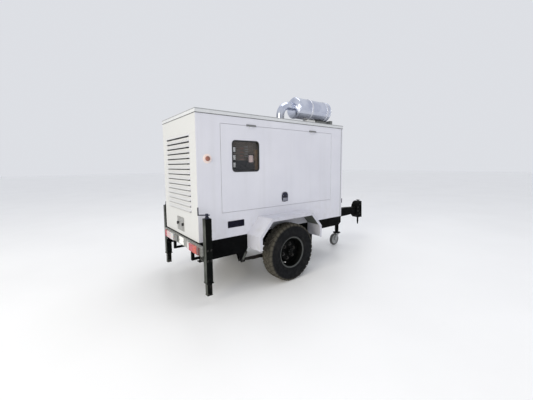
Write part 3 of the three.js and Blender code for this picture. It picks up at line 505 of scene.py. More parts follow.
class Builder:
    """The mesh under construction: solids are added to it until piece() takes it."""

    def __init__(self):
        self.bm = bmesh.new()

    def take(self):
        made, self.bm = self.bm, bmesh.new()
        return made

    def skin(self, rings, capped=True):
        """Joins rings of points into a closed body: capped at both ends, or running round into itself."""
        rings = [[self.bm.verts.new(point) for point in ring] for ring in rings]
        if capped:
            self.bm.faces.new(rings[0][::-1])
            self.bm.faces.new(rings[-1])
        for one, two in zip(rings, rings[1:] + ([] if capped else rings[:1])):
            for k in range(len(one)):
                n = (k + 1) % len(one)
                self.bm.faces.new([one[k], one[n], two[n], two[k]])

    def box(self, low, high):
        """Adds a closed box between two corners."""
        corners = [(x, y, z) for x in (low[0], high[0]) for y in (low[1], high[1]) for z in (low[2], high[2])]
        bmesh.ops.convex_hull(self.bm, input=[self.bm.verts.new(corner) for corner in corners])

    def lathe(self, profile, axis="Y", sides=48, at=(0, 0, 0)):
        """Adds a turned body. Its profile of (radius, distance along) closes on itself or on the axis."""
        centre = Vector(at)
        rings = []
        for radius, along in profile:
            turns = [2 * math.pi * k / sides for k in range(sides)] if radius > ON_AXIS else [0]
            rings.append([self.bm.verts.new(centre + Vector(to_axis(axis, radius, a, along))) for a in turns])
        open_ended = len(rings[0]) == 1 and len(rings[-1]) == 1
        for one, two in zip(rings, rings[1:] if open_ended else rings[1:] + rings[:1]):
            for k in range(sides):
                n = (k + 1) % sides
                corner = [one[k % len(one)], one[n % len(one)], two[n % len(two)], two[k % len(two)]]
                face = list(dict.fromkeys(corner))
                if len(face) > 2:
                    self.bm.faces.new(face)

    def disc(self, radius, start, end, axis, sides, at):
        """Adds a plain round plate between two distances along an axis."""
        self.lathe([(0, start), (radius, start), (radius, end), (0, end)], axis, sides, at)

    def prism(self, outline, axis, low, high):
        """Adds a flat outline pushed from low to high along an axis."""
        self.skin([[in_axes(axis, along, *pair) for pair in outline] for along in (low, high)])

    def frame(self, outer, inner, axis, low, high):
        """Adds a flat ring between two outlines of the same number of points."""
        loops = ((outer, low), (outer, high), (inner, high), (inner, low))
        rings = [[in_axes(axis, along, *pair) for pair in outline] for outline, along in loops]
        self.skin(rings, capped=False)

    def tube(self, path, radius, sides=16):
        """Adds a round bar along a list of points, with capped ends."""
        points = [Vector(p) for p in path]
        rings = []
        normal = None
        for k, point in enumerate(points):
            tangent = (points[min(k + 1, len(points) - 1)] - points[max(k - 1, 0)]).normalized()
            if normal is None:
                normal = tangent.orthogonal().normalized()
            normal = (normal - tangent * normal.dot(tangent)).normalized()
            side = tangent.cross(normal)
            turns = [2 * math.pi * j / sides for j in range(sides)]
            rings.append([point + radius * (math.cos(a) * normal + math.sin(a) * side) for a in turns])
        self.skin(rings)

    def bolt(self, at, axis, across=0.019, height=0.008, sign=1):
        """Adds a hexagon head on a washer, standing out along the axis."""
        washer = sign * 0.002
        self.disc(across * 0.85, 0, washer, axis, 20, at)
        head = across / math.sqrt(3)
        top = washer + sign * height
        self.lathe([(0, washer), (head, washer), (head, top - sign * 0.001), (head * 0.86, top), (0, top)],
                   axis, 6, at)


ON_AXIS = 1e-6
SHARP = math.radians(32)
add = Builder()


def rounded_rectangle(x0, x1, z0, z1, radius, steps=6):
    """Corner points of a rectangle with round corners, anticlockwise."""
    points = []
    corners = ((x1 - radius, z1 - radius), (x0 + radius, z1 - radius), (x0 + radius, z0 + radius),
               (x1 - radius, z0 + radius))
    for quarter, (cx, cz) in enumerate(corners):
        for k in range(steps + 1):
            a = math.pi / 2 * (quarter + k / steps)
            points.append((cx + radius * math.cos(a), cz + radius * math.sin(a)))
    return points


def soften(obj, width, segments=2):
    """Rounds the edges that turn sharply, and shades what is left smoothly."""
    bevel = obj.modifiers.new("round", "BEVEL")
    bevel.width = width
    bevel.segments = segments
    bevel.limit_method = "ANGLE"
    bevel.angle_limit = SHARP
    bevel.harden_normals = True


def piece(name, material, body="trailer", replaces=(), bevel=0.0, segments=2):
    """Makes one named piece from the mesh under construction and lets it ride on a CAD body."""
    bm = add.take()
    bmesh.ops.recalc_face_normals(bm, faces=bm.faces)
    mesh = bpy.data.meshes.new(name)
    bm.to_mesh(mesh)
    bm.free()
    mesh.materials.append(material)
    for polygon in mesh.polygons:
        polygon.use_smooth = True
    mesh.set_sharp_from_angle(angle=SHARP)
    obj = bpy.data.objects.new(name, mesh)
    bpy.context.scene.collection.objects.link(obj)
    if bevel:
        soften(obj, bevel, segments)
    if body:
        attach(obj, body)
    if replaces:
        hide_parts(*replaces)
    return obj


# ---- carried-over CAD nodes ----


def finish_node(name, material, bevel):
    """Gives a CAD node its material and a fine rounding of its edges."""
    obj = NODES[name]
    obj.data.materials[0] = material
    if "custom_normal" in obj.data.attributes:
        obj.data.attributes.remove(obj.data.attributes["custom_normal"])
    for polygon in obj.data.polygons:
        polygon.use_smooth = True
    weld = obj.modifiers.new("weld", "WELD")
    weld.merge_threshold = 0.00002
    flat = obj.modifiers.new("flat", "DECIMATE")
    flat.decimate_type = "DISSOLVE"
    flat.angle_limit = math.radians(0.5)
    soften(obj, bevel)


NODE_FINISHES = (
    (CANOPY, 0.0016, ("side_frame_near", "side_frame_far", "rear_panel", "front_panel", "door_near",
                      "door_far")),
    (FENDER, 0.0016, ("fender_near", "fender_far")),
    (ROOF, 0.004, ("roof",)),
    (CHASSIS, 0.0025, ("side_rail_near", "side_rail_far", "crossmember_rear", "crossmember_middle",
                       "crossmember_front", "fuel_tank", "drawbar", "hitch_jaw", "axle", "jockey_clamp")),
    (HINGE_GREY, 0.0008, ("door_hinge_near_rear", "door_hinge_near_front", "door_hinge_far_rear",
                          "door_hinge_far_front")),
    (JACK, 0.0022, ("jack_tube_near", "jack_tube_far", "jack_leg_near", "jack_leg_far")),
    (NAVY, 0.0015, ("jack_crank_near", "jack_crank_far", "jockey_crank", "door_latch_near", "door_latch_far",
                    "control_cabinet")),
    (ZINC, 0.0010, ("output_hatch",)),
    (BOARD_GREY, 0.0010, ("light_board",)),
    (PALE_GREY, 0.0012, ("jockey_fork",)),
    (BLACK_PLASTIC, 0.0012, ("hatch_knob_left", "hatch_knob_right", "cooling_fan", "battery")),
    (GLASS, 0.0005, ("window_pane",)),
    (ENGINE, 0.006, ("engine", "alternator")),
    (CORE, 0.002, ("radiator",)),
    (CHASSIS, 0.001, ("jockey_tube", "jockey_leg", "hitch_pin")),
)
for material, bevel, names in NODE_FINISHES:
    for name in names:
        finish_node(name, material, bevel)


# ---- tyres and wheels ----

TREAD_PITCHES = 36
LUG_SPREAD = 0.012
LUG_FOOT = 0.006


def add_lug(section, start, stop, skew, at):
    """Adds a tread block: a section of (distance along Y, radius) swept round the axle between two angles."""
    rings = []
    for angle, spread in ((start, -LUG_SPREAD), (stop, LUG_SPREAD)):
        ring = []
        for along, radius in section:
            turn = angle + skew * along + (spread if radius < TYRE_RADIUS - LUG_FOOT else 0.0)
            ring.append(at + Vector(to_axis("Y", radius, turn, along)))
        rings.append(ring)
    add.skin(rings)


def tyre_profile():
    """Carcass from one bead over the crown to the other, and back round the inside."""
    r, w = TYRE_RADIUS, TYRE_HALF_WIDTH
    outer = [(0.2275, 0.080), (0.236, 0.090), (0.250, w - 0.009), (0.256, w - 0.005), (0.263, w - 0.0045),
             (0.266, w - 0.007), (0.285, w - 0.003), (0.310, w - 0.0005), (0.335, w), (0.341, w),
             (0.344, w - 0.002), (0.365, w - 0.004), (0.380, w - 0.009), (r - 0.021, w - 0.017),
             (r - 0.014, w - 0.034), (r - 0.012, 0.035), (r - 0.0115, 0.0)]
    inner = [(0.384, 0.0), (0.381, 0.05), (0.365, w - 0.018), (0.30, w - 0.011), (0.245, 0.078),
             (0.209, 0.060), (0.209, 0.072)]
    flip = [(radius, -along) for radius, along in outer[-2::-1]]
    inside = [(radius, -along) for radius, along in inner[::-1]] + inner[1:]
    return outer + flip + inside


def road_tyre(side):
    """Bar-tread tyre: carcass, wrapped shoulder lugs and two rows of slanting centre blocks."""
    at = WHEEL_HUBS[side]
    add.lathe(tyre_profile(), "Y", 96, at)
    r, w = TYRE_RADIUS, TYRE_HALF_WIDTH
    shoulder = [(0.058, r - 0.018), (0.060, r - 0.0005), (w - 0.022, r - 0.002), (w - 0.007, r - 0.013),
                (w - 0.001, r - 0.040), (w - 0.006, r - 0.052), (w - 0.022, r - 0.024)]
    centre = [(0.004, r - 0.018), (0.005, r - 0.0003), (0.049, r - 0.0005), (0.051, r - 0.018)]
    step = 2 * math.pi / TREAD_PITCHES
    for k in range(TREAD_PITCHES):
        for sign, shift in ((1, 0.0), (-1, 0.5)):
            base = (k + shift) * step
            add_lug([(sign * y, z) for y, z in shoulder], base, base + step * 0.60, 0.0, at)
            turn = base + step * 0.25
            add_lug([(sign * y, z) for y, z in centre], turn, turn + step * 0.66, sign * 1.1, at)
    piece(f"road_tyre_{side}", TYRE, f"wheel_{side}", (f"tyre_{side}",), bevel=0.0012, segments=1)


RIM_FLANGE = (
    (0.203, 0.077), (0.211, 0.0845), (0.2195, 0.0875), (0.2245, 0.0860), (0.2240, 0.0825), (0.2180, 0.0820),
    (0.2110, 0.0780), (0.2085, 0.070), (0.2060, 0.060), (0.2000, 0.055),
)
RIM_PROFILE = (
    (0.0, 0.056), (0.036, 0.056), (0.043, 0.052), (0.046, 0.044), (0.048, 0.014), (0.064, 0.012),
    (0.068, 0.002), (0.132, 0.002), (0.142, -0.003), (0.158, -0.020), (0.174, -0.028), (0.186, -0.028),
    (0.1945, -0.020), (0.1945, 0.052), (0.201, 0.064), *RIM_FLANGE,
    *((radius, -along) for radius, along in RIM_FLANGE[::-1]), (0.1945, -0.058), (0.1945, -0.034),
    (0.186, -0.038), (0.174, -0.038), (0.156, -0.030), (0.140, -0.013), (0.131, -0.008), (0.072, -0.008),
    (0.066, -0.014), (0.066, -0.060), (0.0307, -0.060), (0.0307, 0.044), (0.0, 0.044),
)
WHEEL_NUT_CIRCLE = 0.1025
HUB_BOLT_CIRCLE = 0.036
VALVE_ANGLE = math.radians(228)


def road_wheel(side, s):
    """Deep-dished steel wheel with its flange ring, hub nuts and valve."""
    at = WHEEL_HUBS[side]
    body = f"wheel_{side}"
    add.lathe([(radius, s * along) for radius, along in RIM_PROFILE], "Y", 72, at)
    piece(f"wheel_disc_{side}", RIM, body, (f"wheel_{side}",), bevel=0.0008)
    add.lathe([(0.2045, s * 0.0805), (0.2110, s * 0.0862), (0.2190, s * 0.0892), (0.2242, s * 0.0880),
               (0.2255, s * 0.0862), (0.2195, s * 0.0872), (0.2112, s * 0.0842), (0.2050, s * 0.0785)], "Y",
               72, at)
    piece(f"rim_edge_{side}", RIM_EDGE, body)
    for k in range(6):
        offset = Vector(to_axis("Y", WHEEL_NUT_CIRCLE, math.radians(60 * k + 14), s * 0.001))
        add.bolt(at + offset, "Y", 0.032, 0.020, s)
    for k in range(5):
        offset = Vector(to_axis("Y", HUB_BOLT_CIRCLE, math.radians(72 * k), s * 0.0555))
        add.bolt(at + offset, "Y", 0.009, 0.004, s)
    piece(f"wheel_nuts_{side}", DARK_BOLT, body, bevel=0.0006)
    foot = at + Vector(to_axis("Y", 0.190, VALVE_ANGLE, s * 0.030))
    tip = at + Vector(to_axis("Y", 0.176, VALVE_ANGLE, s * 0.083))
    add.tube([foot, foot.lerp(tip, 0.5), tip], 0.0045, 12)
    cap = at + Vector(to_axis("Y", 0.175, VALVE_ANGLE, s * 0.086))
    add.tube([tip, cap], 0.0075, 14)
    piece(f"tyre_valve_{side}", COLLAR, body)


for side, s in SIDES:
    road_tyre(side)
    road_wheel(side, s)


# ---- springs ----

LEAF = 0.009
LEAF_GAP = 0.0008
EYE_RADIUS = 0.017
SHACKLE_OUTER, SHACKLE_INNER = 0.589, 0.5255
CLAMP_X, CLAMP_Y = 0.0455, (0.5238, 0.5862)
AXLE_X = middle("axle").x


def half_spring(side, end, reach):
    """Five leaves from the axle to one eye."""
    low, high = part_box(f"leaf_spring_{side}")
    y0, y1 = low.y, high.y
    eye = Vector((AXLE_X + reach, (y0 + y1) / 2, high.z - EYE_RADIUS))
    seat = eye.z + 0.0036
    for leaf, share in enumerate((0.975, 1.0, 0.90, 0.76, 0.52)):
        steps = 14
        inset = 0.0006 * leaf
        stations = []
        for k in range(steps + 1):
            t = share * k / steps
            top = seat + 0.0024 * t * t - leaf * LEAF
            foot = top - (LEAF - LEAF_GAP if k < steps else LEAF * 0.55)
            corners = ((y0 + inset, foot), (y1 - inset, foot), (y1 - inset, top), (y0 + inset, top))
            stations.append([(AXLE_X + reach * t, y, z) for y, z in corners])
        add.skin(stations)
    half = (y1 - y0) / 2
    add.lathe([(0.009, -half), (0.017, -half), (0.017, half), (0.009, half)], "Y", 28, eye)
    add.lathe([(0, -half - 0.014), (0.0085, -half - 0.014), (0.0085, half + 0.014), (0, half + 0.014)], "Y",
              20, eye)
    replaced = (f"leaf_spring_{side}",) if end == "rear" else ()
    obj = piece(f"leaf_spring_{side}_{end}", SPRING, None, replaced, bevel=0.0008, segments=1)
    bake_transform(obj)


def spring_fittings(side, s):
    """Shackle plates at the rear eye, pin heads at the front eye and the nuts under the axle clamps."""
    low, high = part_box(f"leaf_spring_{side}")
    rear, front = low.x + EYE_RADIUS, high.x - EYE_RADIUS
    eye_z = high.z - EYE_RADIUS
    face = s * SHACKLE_OUTER
    top = Vector((rear + 0.060, eye_z + 0.102))
    foot = Vector((rear, eye_z))
    along = (top - foot).normalized()
    across = Vector((-along.y, along.x))
    outline = []
    for centre, turn in ((foot, math.pi), (top, 0.0)):
        for k in range(9):
            a = turn - math.pi / 2 + math.pi * k / 8
            outline.append(centre + EYE_RADIUS * (math.cos(a) * along + math.sin(a) * across))
    for y in (face, s * SHACKLE_INNER):
        add.prism(outline, "Y", y, y + s * 0.004)
    piece(f"spring_shackle_{side}", SHACKLE_GREY, bevel=0.001)
    for x, z in ((foot.x, foot.y), (top.x, top.y), (front, eye_z)):
        add.bolt((x, face + s * 0.0035, z), "Y", 0.018, 0.008, s)
    piece(f"spring_bolts_{side}", DARK_BOLT, bevel=0.0005)
    axle_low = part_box("axle")[0]
    for x in (AXLE_X - CLAMP_X, AXLE_X + CLAMP_X):
        for y in CLAMP_Y:
            add.bolt((x, s * y, axle_low.z + 0.0003), "Z", 0.012, 0.0, -1)
            add.bolt((x, s * y, axle_low.z + 0.012), "Z", 0.012, 0.008, 1)
    piece(f"clamp_nuts_{side}", DARK_BOLT, "axle", bevel=0.0005)


for side, s in SIDES:
    low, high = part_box(f"leaf_spring_{side}")
    half_spring(side, "rear", low.x + EYE_RADIUS - AXLE_X)
    half_spring(side, "front", high.x - EYE_RADIUS - AXLE_X)
    spring_fittings(side, s)


# ---- rear lights and number plate ----


def lens_block(x0, x1, y0, y1, z0, z1, pitch=0.008, depth=0.0012):
    """Adds a lens whose outer face is fluted by fine upright prisms; x1 is the outer face."""
    count = max(2, round((y1 - y0) / pitch))
    outline = [(x0, y1), (x0, y0)]
    for k in range(count):
        a = y0 + (y1 - y0) * k / count
        b = y0 + (y1 - y0) * (k + 1) / count
        outline += [(x1 + depth, a + 0.0003), (x1, a * 0.6 + b * 0.4), (x1, a * 0.4 + b * 0.6)]
    outline.append((x1 + depth, y1))
    add.prism(outline, "Z", z0, z1)


LAMP_SEGMENTS = {
    "near": ((LENS_CLEAR, "white", 0.0, 0.18), (LENS_RED, "red", 0.18, 0.50),
             (LENS_ORANGE, "orange", 0.50, 0.84),
             (LENS_AMBER, "side", 0.84, 1.0)),
    "far": ((LENS_CLEAR, "white", 0.0, 0.34), (LENS_PINK, "pink", 0.34, 0.78), (LENS_RED, "red", 0.78, 1.0)),
}


def tail_lamp(side, s):
    """Lamp cluster: grey tray and its row of fluted lenses, the white one towards the middle."""
    low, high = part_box(f"tail_lamp_{side}")
    border = 0.006
    inner, outer = (high.y, low.y) if s < 0 else (low.y, high.y)
    add.box((high.x - 0.010, low.y, low.z), (high.x, high.y, high.z))
    piece(f"lamp_tray_{side}", BOARD_GREY, "trailer", (f"tail_lamp_{side}",), bevel=0.0015)
    start, stop = inner + s * border, outer - s * border
    for material, name, begin, end in LAMP_SEGMENTS[side]:
        ends = sorted((start + (stop - start) * begin, start + (stop - start) * end - s * 0.0012))
        lens_block(high.x - 0.0098, low.x, *ends, low.z + border, high.z - border)
        piece(f"lamp_lens_{name}_{side}", material, bevel=0.0006, segments=1)
    for y in (low.y + 0.003, high.y - 0.003):
        add.bolt((high.x - 0.010, y, (low.z + high.z) / 2), "X", 0.004, 0.001, -1)
    piece(f"lamp_screws_{side}", BOLT)


for side, s in SIDES:
    tail_lamp(side, s)


def board_trim():
    """Blank number plate, the cable box beside it and the board's screws."""
    low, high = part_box("light_board")
    face = low.x
    plate = rounded_rectangle(-0.170, -0.010, low.z + 0.008, high.z - 0.008, 0.008)
    add.prism(plate, "X", face - 0.0026, face - 0.0004)
    piece("number_plate", PLATE_WHITE, bevel=0.0006)
    for y in (-0.154, -0.026):
        add.bolt((face - 0.0024, y, (low.z + high.z) / 2), "X", 0.008, 0.003, -1)
    for y in (low.y + 0.008, 0.120, -0.262, high.y - 0.008):
        add.bolt((face, y, high.z - 0.012), "X", 0.008, 0.003, -1)
    piece("board_screws", BOLT, bevel=0.0003)
    add.box((face - 0.020, 0.035, low.z + 0.014), (face - 0.0004, 0.110, high.z - 0.014))
    add.tube([(face - 0.010, 0.11, low.z + 0.05), (face - 0.010, 0.127, low.z + 0.045),
              (face - 0.008, 0.152, low.z + 0.05)], 0.004, 10)
    piece("board_cable_box", SADDLE_GREY, bevel=0.003)


board_trim()


# ---- control window ----


PANE_LOW, PANE_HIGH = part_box("window_pane")
NEAR_FACE = -CANOPY_Y


def window_rectangle(grow, radius):
    """Outline of the window, larger or smaller by a margin."""
    return rounded_rectangle(PANE_LOW.x - grow, PANE_HIGH.x + grow, PANE_LOW.z - grow, PANE_HIGH.z + grow,
                             radius)


def window_gasket():
    """Black rubber section that grips the pane and the sheet."""
    add.frame(window_rectangle(0.010, 0.050), window_rectangle(-0.008, 0.032), "Y", NEAR_FACE - 0.0035,
              NEAR_FACE - 0.0004)
    add.frame(window_rectangle(0.003, 0.043), window_rectangle(-0.006, 0.034), "Y", NEAR_FACE - 0.005,
              NEAR_FACE - 0.003)
    piece("window_gasket", GASKET, "door_near", bevel=0.001)


PANEL_FRONT = -0.560
METER_CENTRES = (0.72, 0.46, 0.21)


def control_panel():
    """Instrument panel behind the window: meters on the left, lamps, a display, a dark lower field and a
    brown strip on the right that is a painted warm reflection.
    """
    low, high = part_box("control_cabinet")
    x0, z0 = PANE_LOW.x, PANE_LOW.z
    width, height = PANE_HIGH.x - x0, PANE_HIGH.z - z0

    def across(share):
        """Place along X as seen through the window from behind the near rear corner."""
        return x0 + 0.024 + width * share

    def up(share):
        return z0 + height * share

    def plate(left, right, bottom, top, radius, out, back=0.0003):
        """Adds a flat shape with round corners, set by shares of the window, that far out from the panel."""
        outline = rounded_rectangle(across(left), across(right), up(bottom), up(top), radius)
        add.prism(outline, "Y", PANEL_FRONT - out, PANEL_FRONT - back)

    add.box((low.x + 0.02, PANEL_FRONT, z0 - 0.10), (high.x + 0.045, low.y - 0.0005, high.z - 0.02))
    piece("instrument_panel", PANEL_PLASTIC, bevel=0.004)
    add.box((across(-0.02), PANEL_FRONT - 0.003, up(-0.06)), (across(0.90), PANEL_FRONT - 0.0003, up(0.36)))
    for share in (0.12, 0.30, 0.50, 0.66, 0.80):
        add.lathe([(0, 0), (0.014, 0), (0.014, -0.012), (0.010, -0.015), (0, -0.015)], "Y", 24,
                  (across(share), PANEL_FRONT - 0.0028, up(0.16)))
    for centre in METER_CENTRES:
        plate(-0.08, 0.10, centre - 0.10, centre + 0.10, 0.006, 0.007, 0.0002)
    plate(0.57, 0.79, 0.27, 0.57, 0.006, 0.008, 0.0002)
    piece("instrument_bezels", PANEL_DARK, bevel=0.0012)
    for centre in METER_CENTRES:
        plate(-0.06, 0.08, centre - 0.075, centre + 0.075, 0.004, 0.0082, 0.0070)
    piece("meter_faces", METER_FACE)
    for centre in METER_CENTRES:
        foot = Vector((across(0.01), PANEL_FRONT - 0.0086, up(centre - 0.05)))
        add.tube([foot, foot + Vector((0.022, 0, 0.030))], 0.0009, 6)
        add.disc(0.004, 0, -0.0015, "Y", 16, foot)
    piece("meter_needles", PANEL_DARK)
    plate(0.60, 0.76, 0.30, 0.54, 0.003, 0.0092, 0.0080)
    piece("display_screen", DISPLAY_FACE)
    for share in (0.30, 0.36):
        for rise in (0.76, 0.64, 0.52, 0.40):
            add.lathe([(0, 0), (0.006, 0), (0.006, -0.004), (0.003, -0.006), (0, -0.006)], "Y", 16,
                      (across(share), PANEL_FRONT - 0.0003, up(rise)))
    piece("warning_lamps", LED_RED)
    for rise in (0.82, 0.74, 0.66, 0.58, 0.50):
        for share in (0.46, 0.52):
            plate(share, share + 0.04, rise - 0.015, rise + 0.015, 0.003, 0.005)
    piece("panel_buttons", PALE_GREY, bevel=0.001)
    # painted reflection: brown strip with pads standing in for a warm glint seen through the window
    plate(0.84, 0.96, 0.04, 0.74, 0.004, 0.012)
    for rise in (0.12, 0.24, 0.36, 0.48, 0.60):
        plate(0.86, 0.94, rise, rise + 0.05, 0.002, 0.0135, 0.0118)
    piece("painted_glint_strip", WARM_GLINT_BROWN, bevel=0.0008)


window_gasket()
control_panel()


# ---- side fittings ----

HINGE_Y, HINGE_Z = 0.606, 2.167
HINGE_BARREL = 0.008
HINGE_KNUCKLE = 0.050
BLANKING = (CENTRE_X - 0.970, CENTRE_X - 0.718, 0.842, 0.930)


def emergency_stop():
    """Mushroom head on its stem, and the pale disc behind it."""
    low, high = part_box("emergency_stop")
    at = ((low.x + high.x) / 2, NEAR_FACE, (low.z + high.z) / 2)
    head = (high.x - low.x) / 2
    out = low.y - NEAR_FACE
    add.lathe([(0, 0.016), (0.0115, 0.016), (0.0115, out + 0.022), (head * 0.9, out + 0.0215),
               (head, out + 0.018), (head, out + 0.0135), (head * 0.94, out + 0.009),
               (head * 0.8, out + 0.005), (head * 0.5, out + 0.0015), (0, out)], "Y", 48, at)
    piece("stop_head", STOP_RED, "stop_button", ("emergency_stop",), bevel=0.0006)
    add.lathe([(0.0130, -0.0004), (0.057, -0.0004), (0.058, -0.0009), (0.057, -0.0015), (0.0130, -0.0015)],
              "Y", 56, at)
    piece("stop_disc", STOP_RING)


def blanking_plate():
    """Dark plate riveted on the lower side sheet."""
    x0, x1, z0, z1 = BLANKING
    add.prism(rounded_rectangle(x0, x1, z0, z1, 0.006), "Y", NEAR_FACE - 0.0030, NEAR_FACE - 0.0004)
    for k in range(5):
        z = z0 + 0.016 + k * (z1 - z0 - 0.032) / 4
        rib = rounded_rectangle(x0 + 0.030, x1 - 0.030, z - 0.004, z + 0.004, 0.003)
        add.prism(rib, "Y", NEAR_FACE - 0.0050, NEAR_FACE - 0.0028)
    piece("blanking_plate", PLATE_NAVY, bevel=0.0008)
    for x in (x0 + 0.012, x1 - 0.012):
        for z in (z0 + 0.012, z1 - 0.012):
            add.lathe([(0, -0.0028), (0.005, -0.0028), (0.0035, -0.0052), (0, -0.0058)], "Y", 16,
                      (x, NEAR_FACE, z))
    piece("blanking_plate_rivets", DARK_BOLT)


def latch_trim(side, s):
    """Pressed tray behind the paddle, the paddle's grip edge and its key cylinder."""
    low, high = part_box(f"door_latch_{side}")
    face = s * (CANOPY_Y + 0.0004)
    outer = s * max(abs(low.y), abs(high.y))
    x0, x1, z0, z1 = low.x, high.x, low.z, high.z
    centre = (x0 + x1) / 2
    add.frame(rounded_rectangle(x0 - 0.007, x1 + 0.007, z0 - 0.007, z1 + 0.006, 0.052),
              rounded_rectangle(x0 - 0.002, x1 + 0.002, z0 - 0.002, z1 + 0.001, 0.049), "Y",
              *sorted((face, face + s * 0.0022)))
    piece(f"latch_tray_{side}", NAVY, f"door_{side}", bevel=0.0006)
    grip = sorted((outer, outer + s * 0.003))
    add.box((x0 + 0.010, grip[0], z0 + 0.006), (x1 - 0.010, grip[1], z0 + 0.052))
    for x in (x0 + 0.02, x1 - 0.02):
        add.lathe([(0, 0), (0.005, 0), (0.004, s * 0.003), (0, s * 0.0036)], "Y", 16, (x, outer, z1 - 0.050))
    piece(f"latch_grip_{side}", LATCH_LOWER, f"latch_{side}", bevel=0.0012)
    add.lathe([(0, 0), (0.014, 0), (0.014, s * 0.003), (0.012, s * 0.005), (0.0105, s * 0.005),
               (0.010, s * 0.0038), (0, s * 0.0038)], "Y", 32, (centre, outer, z0 + 0.068))
    add.box((centre - 0.0015, min(outer, outer + s * 0.0046), z0 + 0.062),
            (centre + 0.0015, max(outer, outer + s * 0.0046), z0 + 0.074))
    piece(f"latch_lock_{side}", DARK_BOLT, f"latch_{side}")


def door_foam(side, s):
    """Sound-damping mat glued inside the door, cut round the window on the near side."""
    low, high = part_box(f"door_{side}")
    margin = 0.030
    x0, x1, z0, z1 = low.x + margin, high.x - margin, low.z + margin, high.z - 0.070
    inner, outer = sorted((s * (CANOPY_Y - 0.0035), s * (CANOPY_Y - 0.022)))
    outline = rounded_rectangle(x0, x1, z0, z1, 0.02)
    if s < 0:
        add.frame(outline, window_rectangle(0.030, 0.06), "Y", inner, outer)
    else:
        add.prism(outline, "Y", inner, outer)
    piece(f"door_foam_{side}", FOAM, f"door_{side}", bevel=0.004)


def roof_strips():
    """Dark seal under the roof cap's edge, grey strip on its top edge, and a thin grey strip down each front
    corner.
    """
    low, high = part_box("roof")
    x0, x1, y0, y1 = low.x, high.x, low.y, high.y

    def ring(grow):
        a, b, c, d = x0 - grow, x1 + grow, y0 - grow, y1 + grow
        return [(a, c), (b, c), (b, d), (a, d)]

    add.frame(ring(0.0008), ring(-0.006), "Z", low.z + 0.0004, low.z + 0.007)
    piece("roof_seal", ROOF_SEAL, bevel=0.0002)
    add.frame(ring(0.0010), ring(-0.016), "Z", high.z - 0.011, high.z + 0.0006)
    piece("roof_trim", ROOF_TRIM, bevel=0.001)
    # thin grey strips down the front corners of the side sheets
    sheet_low, sheet_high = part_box("side_frame_near")
    for s in (-1, 1):
        face = s * (CANOPY_Y + 0.0003)
        add.box((sheet_high.x - 0.016, min(face, face + s * 0.0008), sheet_low.z + 0.01),
                (sheet_high.x - 0.002, max(face, face + s * 0.0008), low.z - 0.004))
    piece("front_corner_strips", ROOF_TRIM, bevel=0.0002)


def hinge_sleeves(side, s):
    """Grey sleeve over the moving knuckle of each door hinge."""
    for end in ("rear", "front"):
        low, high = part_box(f"door_hinge_{side}_{end}")
        centre = (low.x + high.x) / 2
        half = HINGE_KNUCKLE / 2 - 0.0006
        add.lathe([(HINGE_BARREL + 0.0002, centre - half), (HINGE_BARREL + 0.0009, centre - half),
                   (HINGE_BARREL + 0.0009, centre + half), (HINGE_BARREL + 0.0002, centre + half)], "X", 28,
                  (0, s * HINGE_Y, HINGE_Z))
    piece(f"hinge_sleeves_{side}", HINGE_GREY, f"door_{side}")


roof_strips()
for side, s in SIDES:
    hinge_sleeves(side, s)
emergency_stop()
blanking_plate()
for side, s in SIDES:
    latch_trim(side, s)
    door_foam(side, s)


def hatch_trim():
    """Hinge barrel along the hatch's top edge and the two washers under its knobs."""
    low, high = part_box("output_hatch")
    for k in range(5):
        y0 = low.y + 0.006 + k * (high.y - low.y - 0.012) / 5
        y1 = y0 + (high.y - low.y - 0.012) / 5 - 0.0015
        add.tube([(low.x + 0.001, y0, high.z + 0.0045), (low.x + 0.001, y1, high.z + 0.0045)], 0.004, 14)
    piece("hatch_hinge", ZINC, bevel=0.0004)
    for node in ("hatch_knob_left", "hatch_knob_right"):
        at = middle(node)
        add.lathe([(0.006, 0), (0.0235, 0), (0.0235, -0.0003), (0.006, -0.0003)], "X", 32,
                  (low.x, at.y, at.z))
    piece("hatch_washers", BOLT, "output_hatch")


hatch_trim()


# ---- exhaust ----

SHELL_LOW, SHELL_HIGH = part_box("muffler")
SHELL_AT = middle("muffler")
SHELL_RADIUS = (SHELL_HIGH.y - SHELL_LOW.y) / 2
PIPE_LOW, PIPE_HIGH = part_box("exhaust_elbow")
PIPE_RADIUS = (PIPE_HIGH.y - PIPE_LOW.y) / 2 - 0.0004
ROOF_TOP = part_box("roof")[1].z
PIPE_BEND = 0.170
BAND_PLACES = (CENTRE_X + 0.680, CENTRE_X + 1.040)
FOOT_BLOCK = (CENTRE_X + 0.660, CENTRE_X + 0.850)
SADDLE_BLOCK = (CENTRE_X + 0.880, CENTRE_X + 1.120)
END_BLOCK = CENTRE_X + 1.240


def silencer():
    """Rolled shell with lipped seams and domed ends."""
    rear, front, r = SHELL_LOW.x, SHELL_HIGH.x, SHELL_RADIUS - 0.0008
    profile = [(0, rear + 0.0005)]
    for k in range(1, 9):
        a = math.pi / 2 * k / 8
        profile.append(((r - 0.004) * math.sin(a), rear + 0.046 - 0.0455 * math.cos(a)))
    profile += [(r, rear + 0.046), (r, rear + 0.058), (r - 0.003, rear + 0.060), (r - 0.003, front - 0.066),
                (r, front - 0.064), (r, front - 0.052)]
    for k in range(8, 0, -1):
        a = math.pi / 2 * k / 8
        profile.append(((r - 0.004) * math.sin(a), front - 0.052 + 0.0515 * math.cos(a)))
    profile.append((0, front - 0.0005))
    add.lathe(profile, "X", 72, (0, SHELL_AT.y, SHELL_AT.z))
    piece("silencer_shell", STEEL, "trailer", ("muffler",))


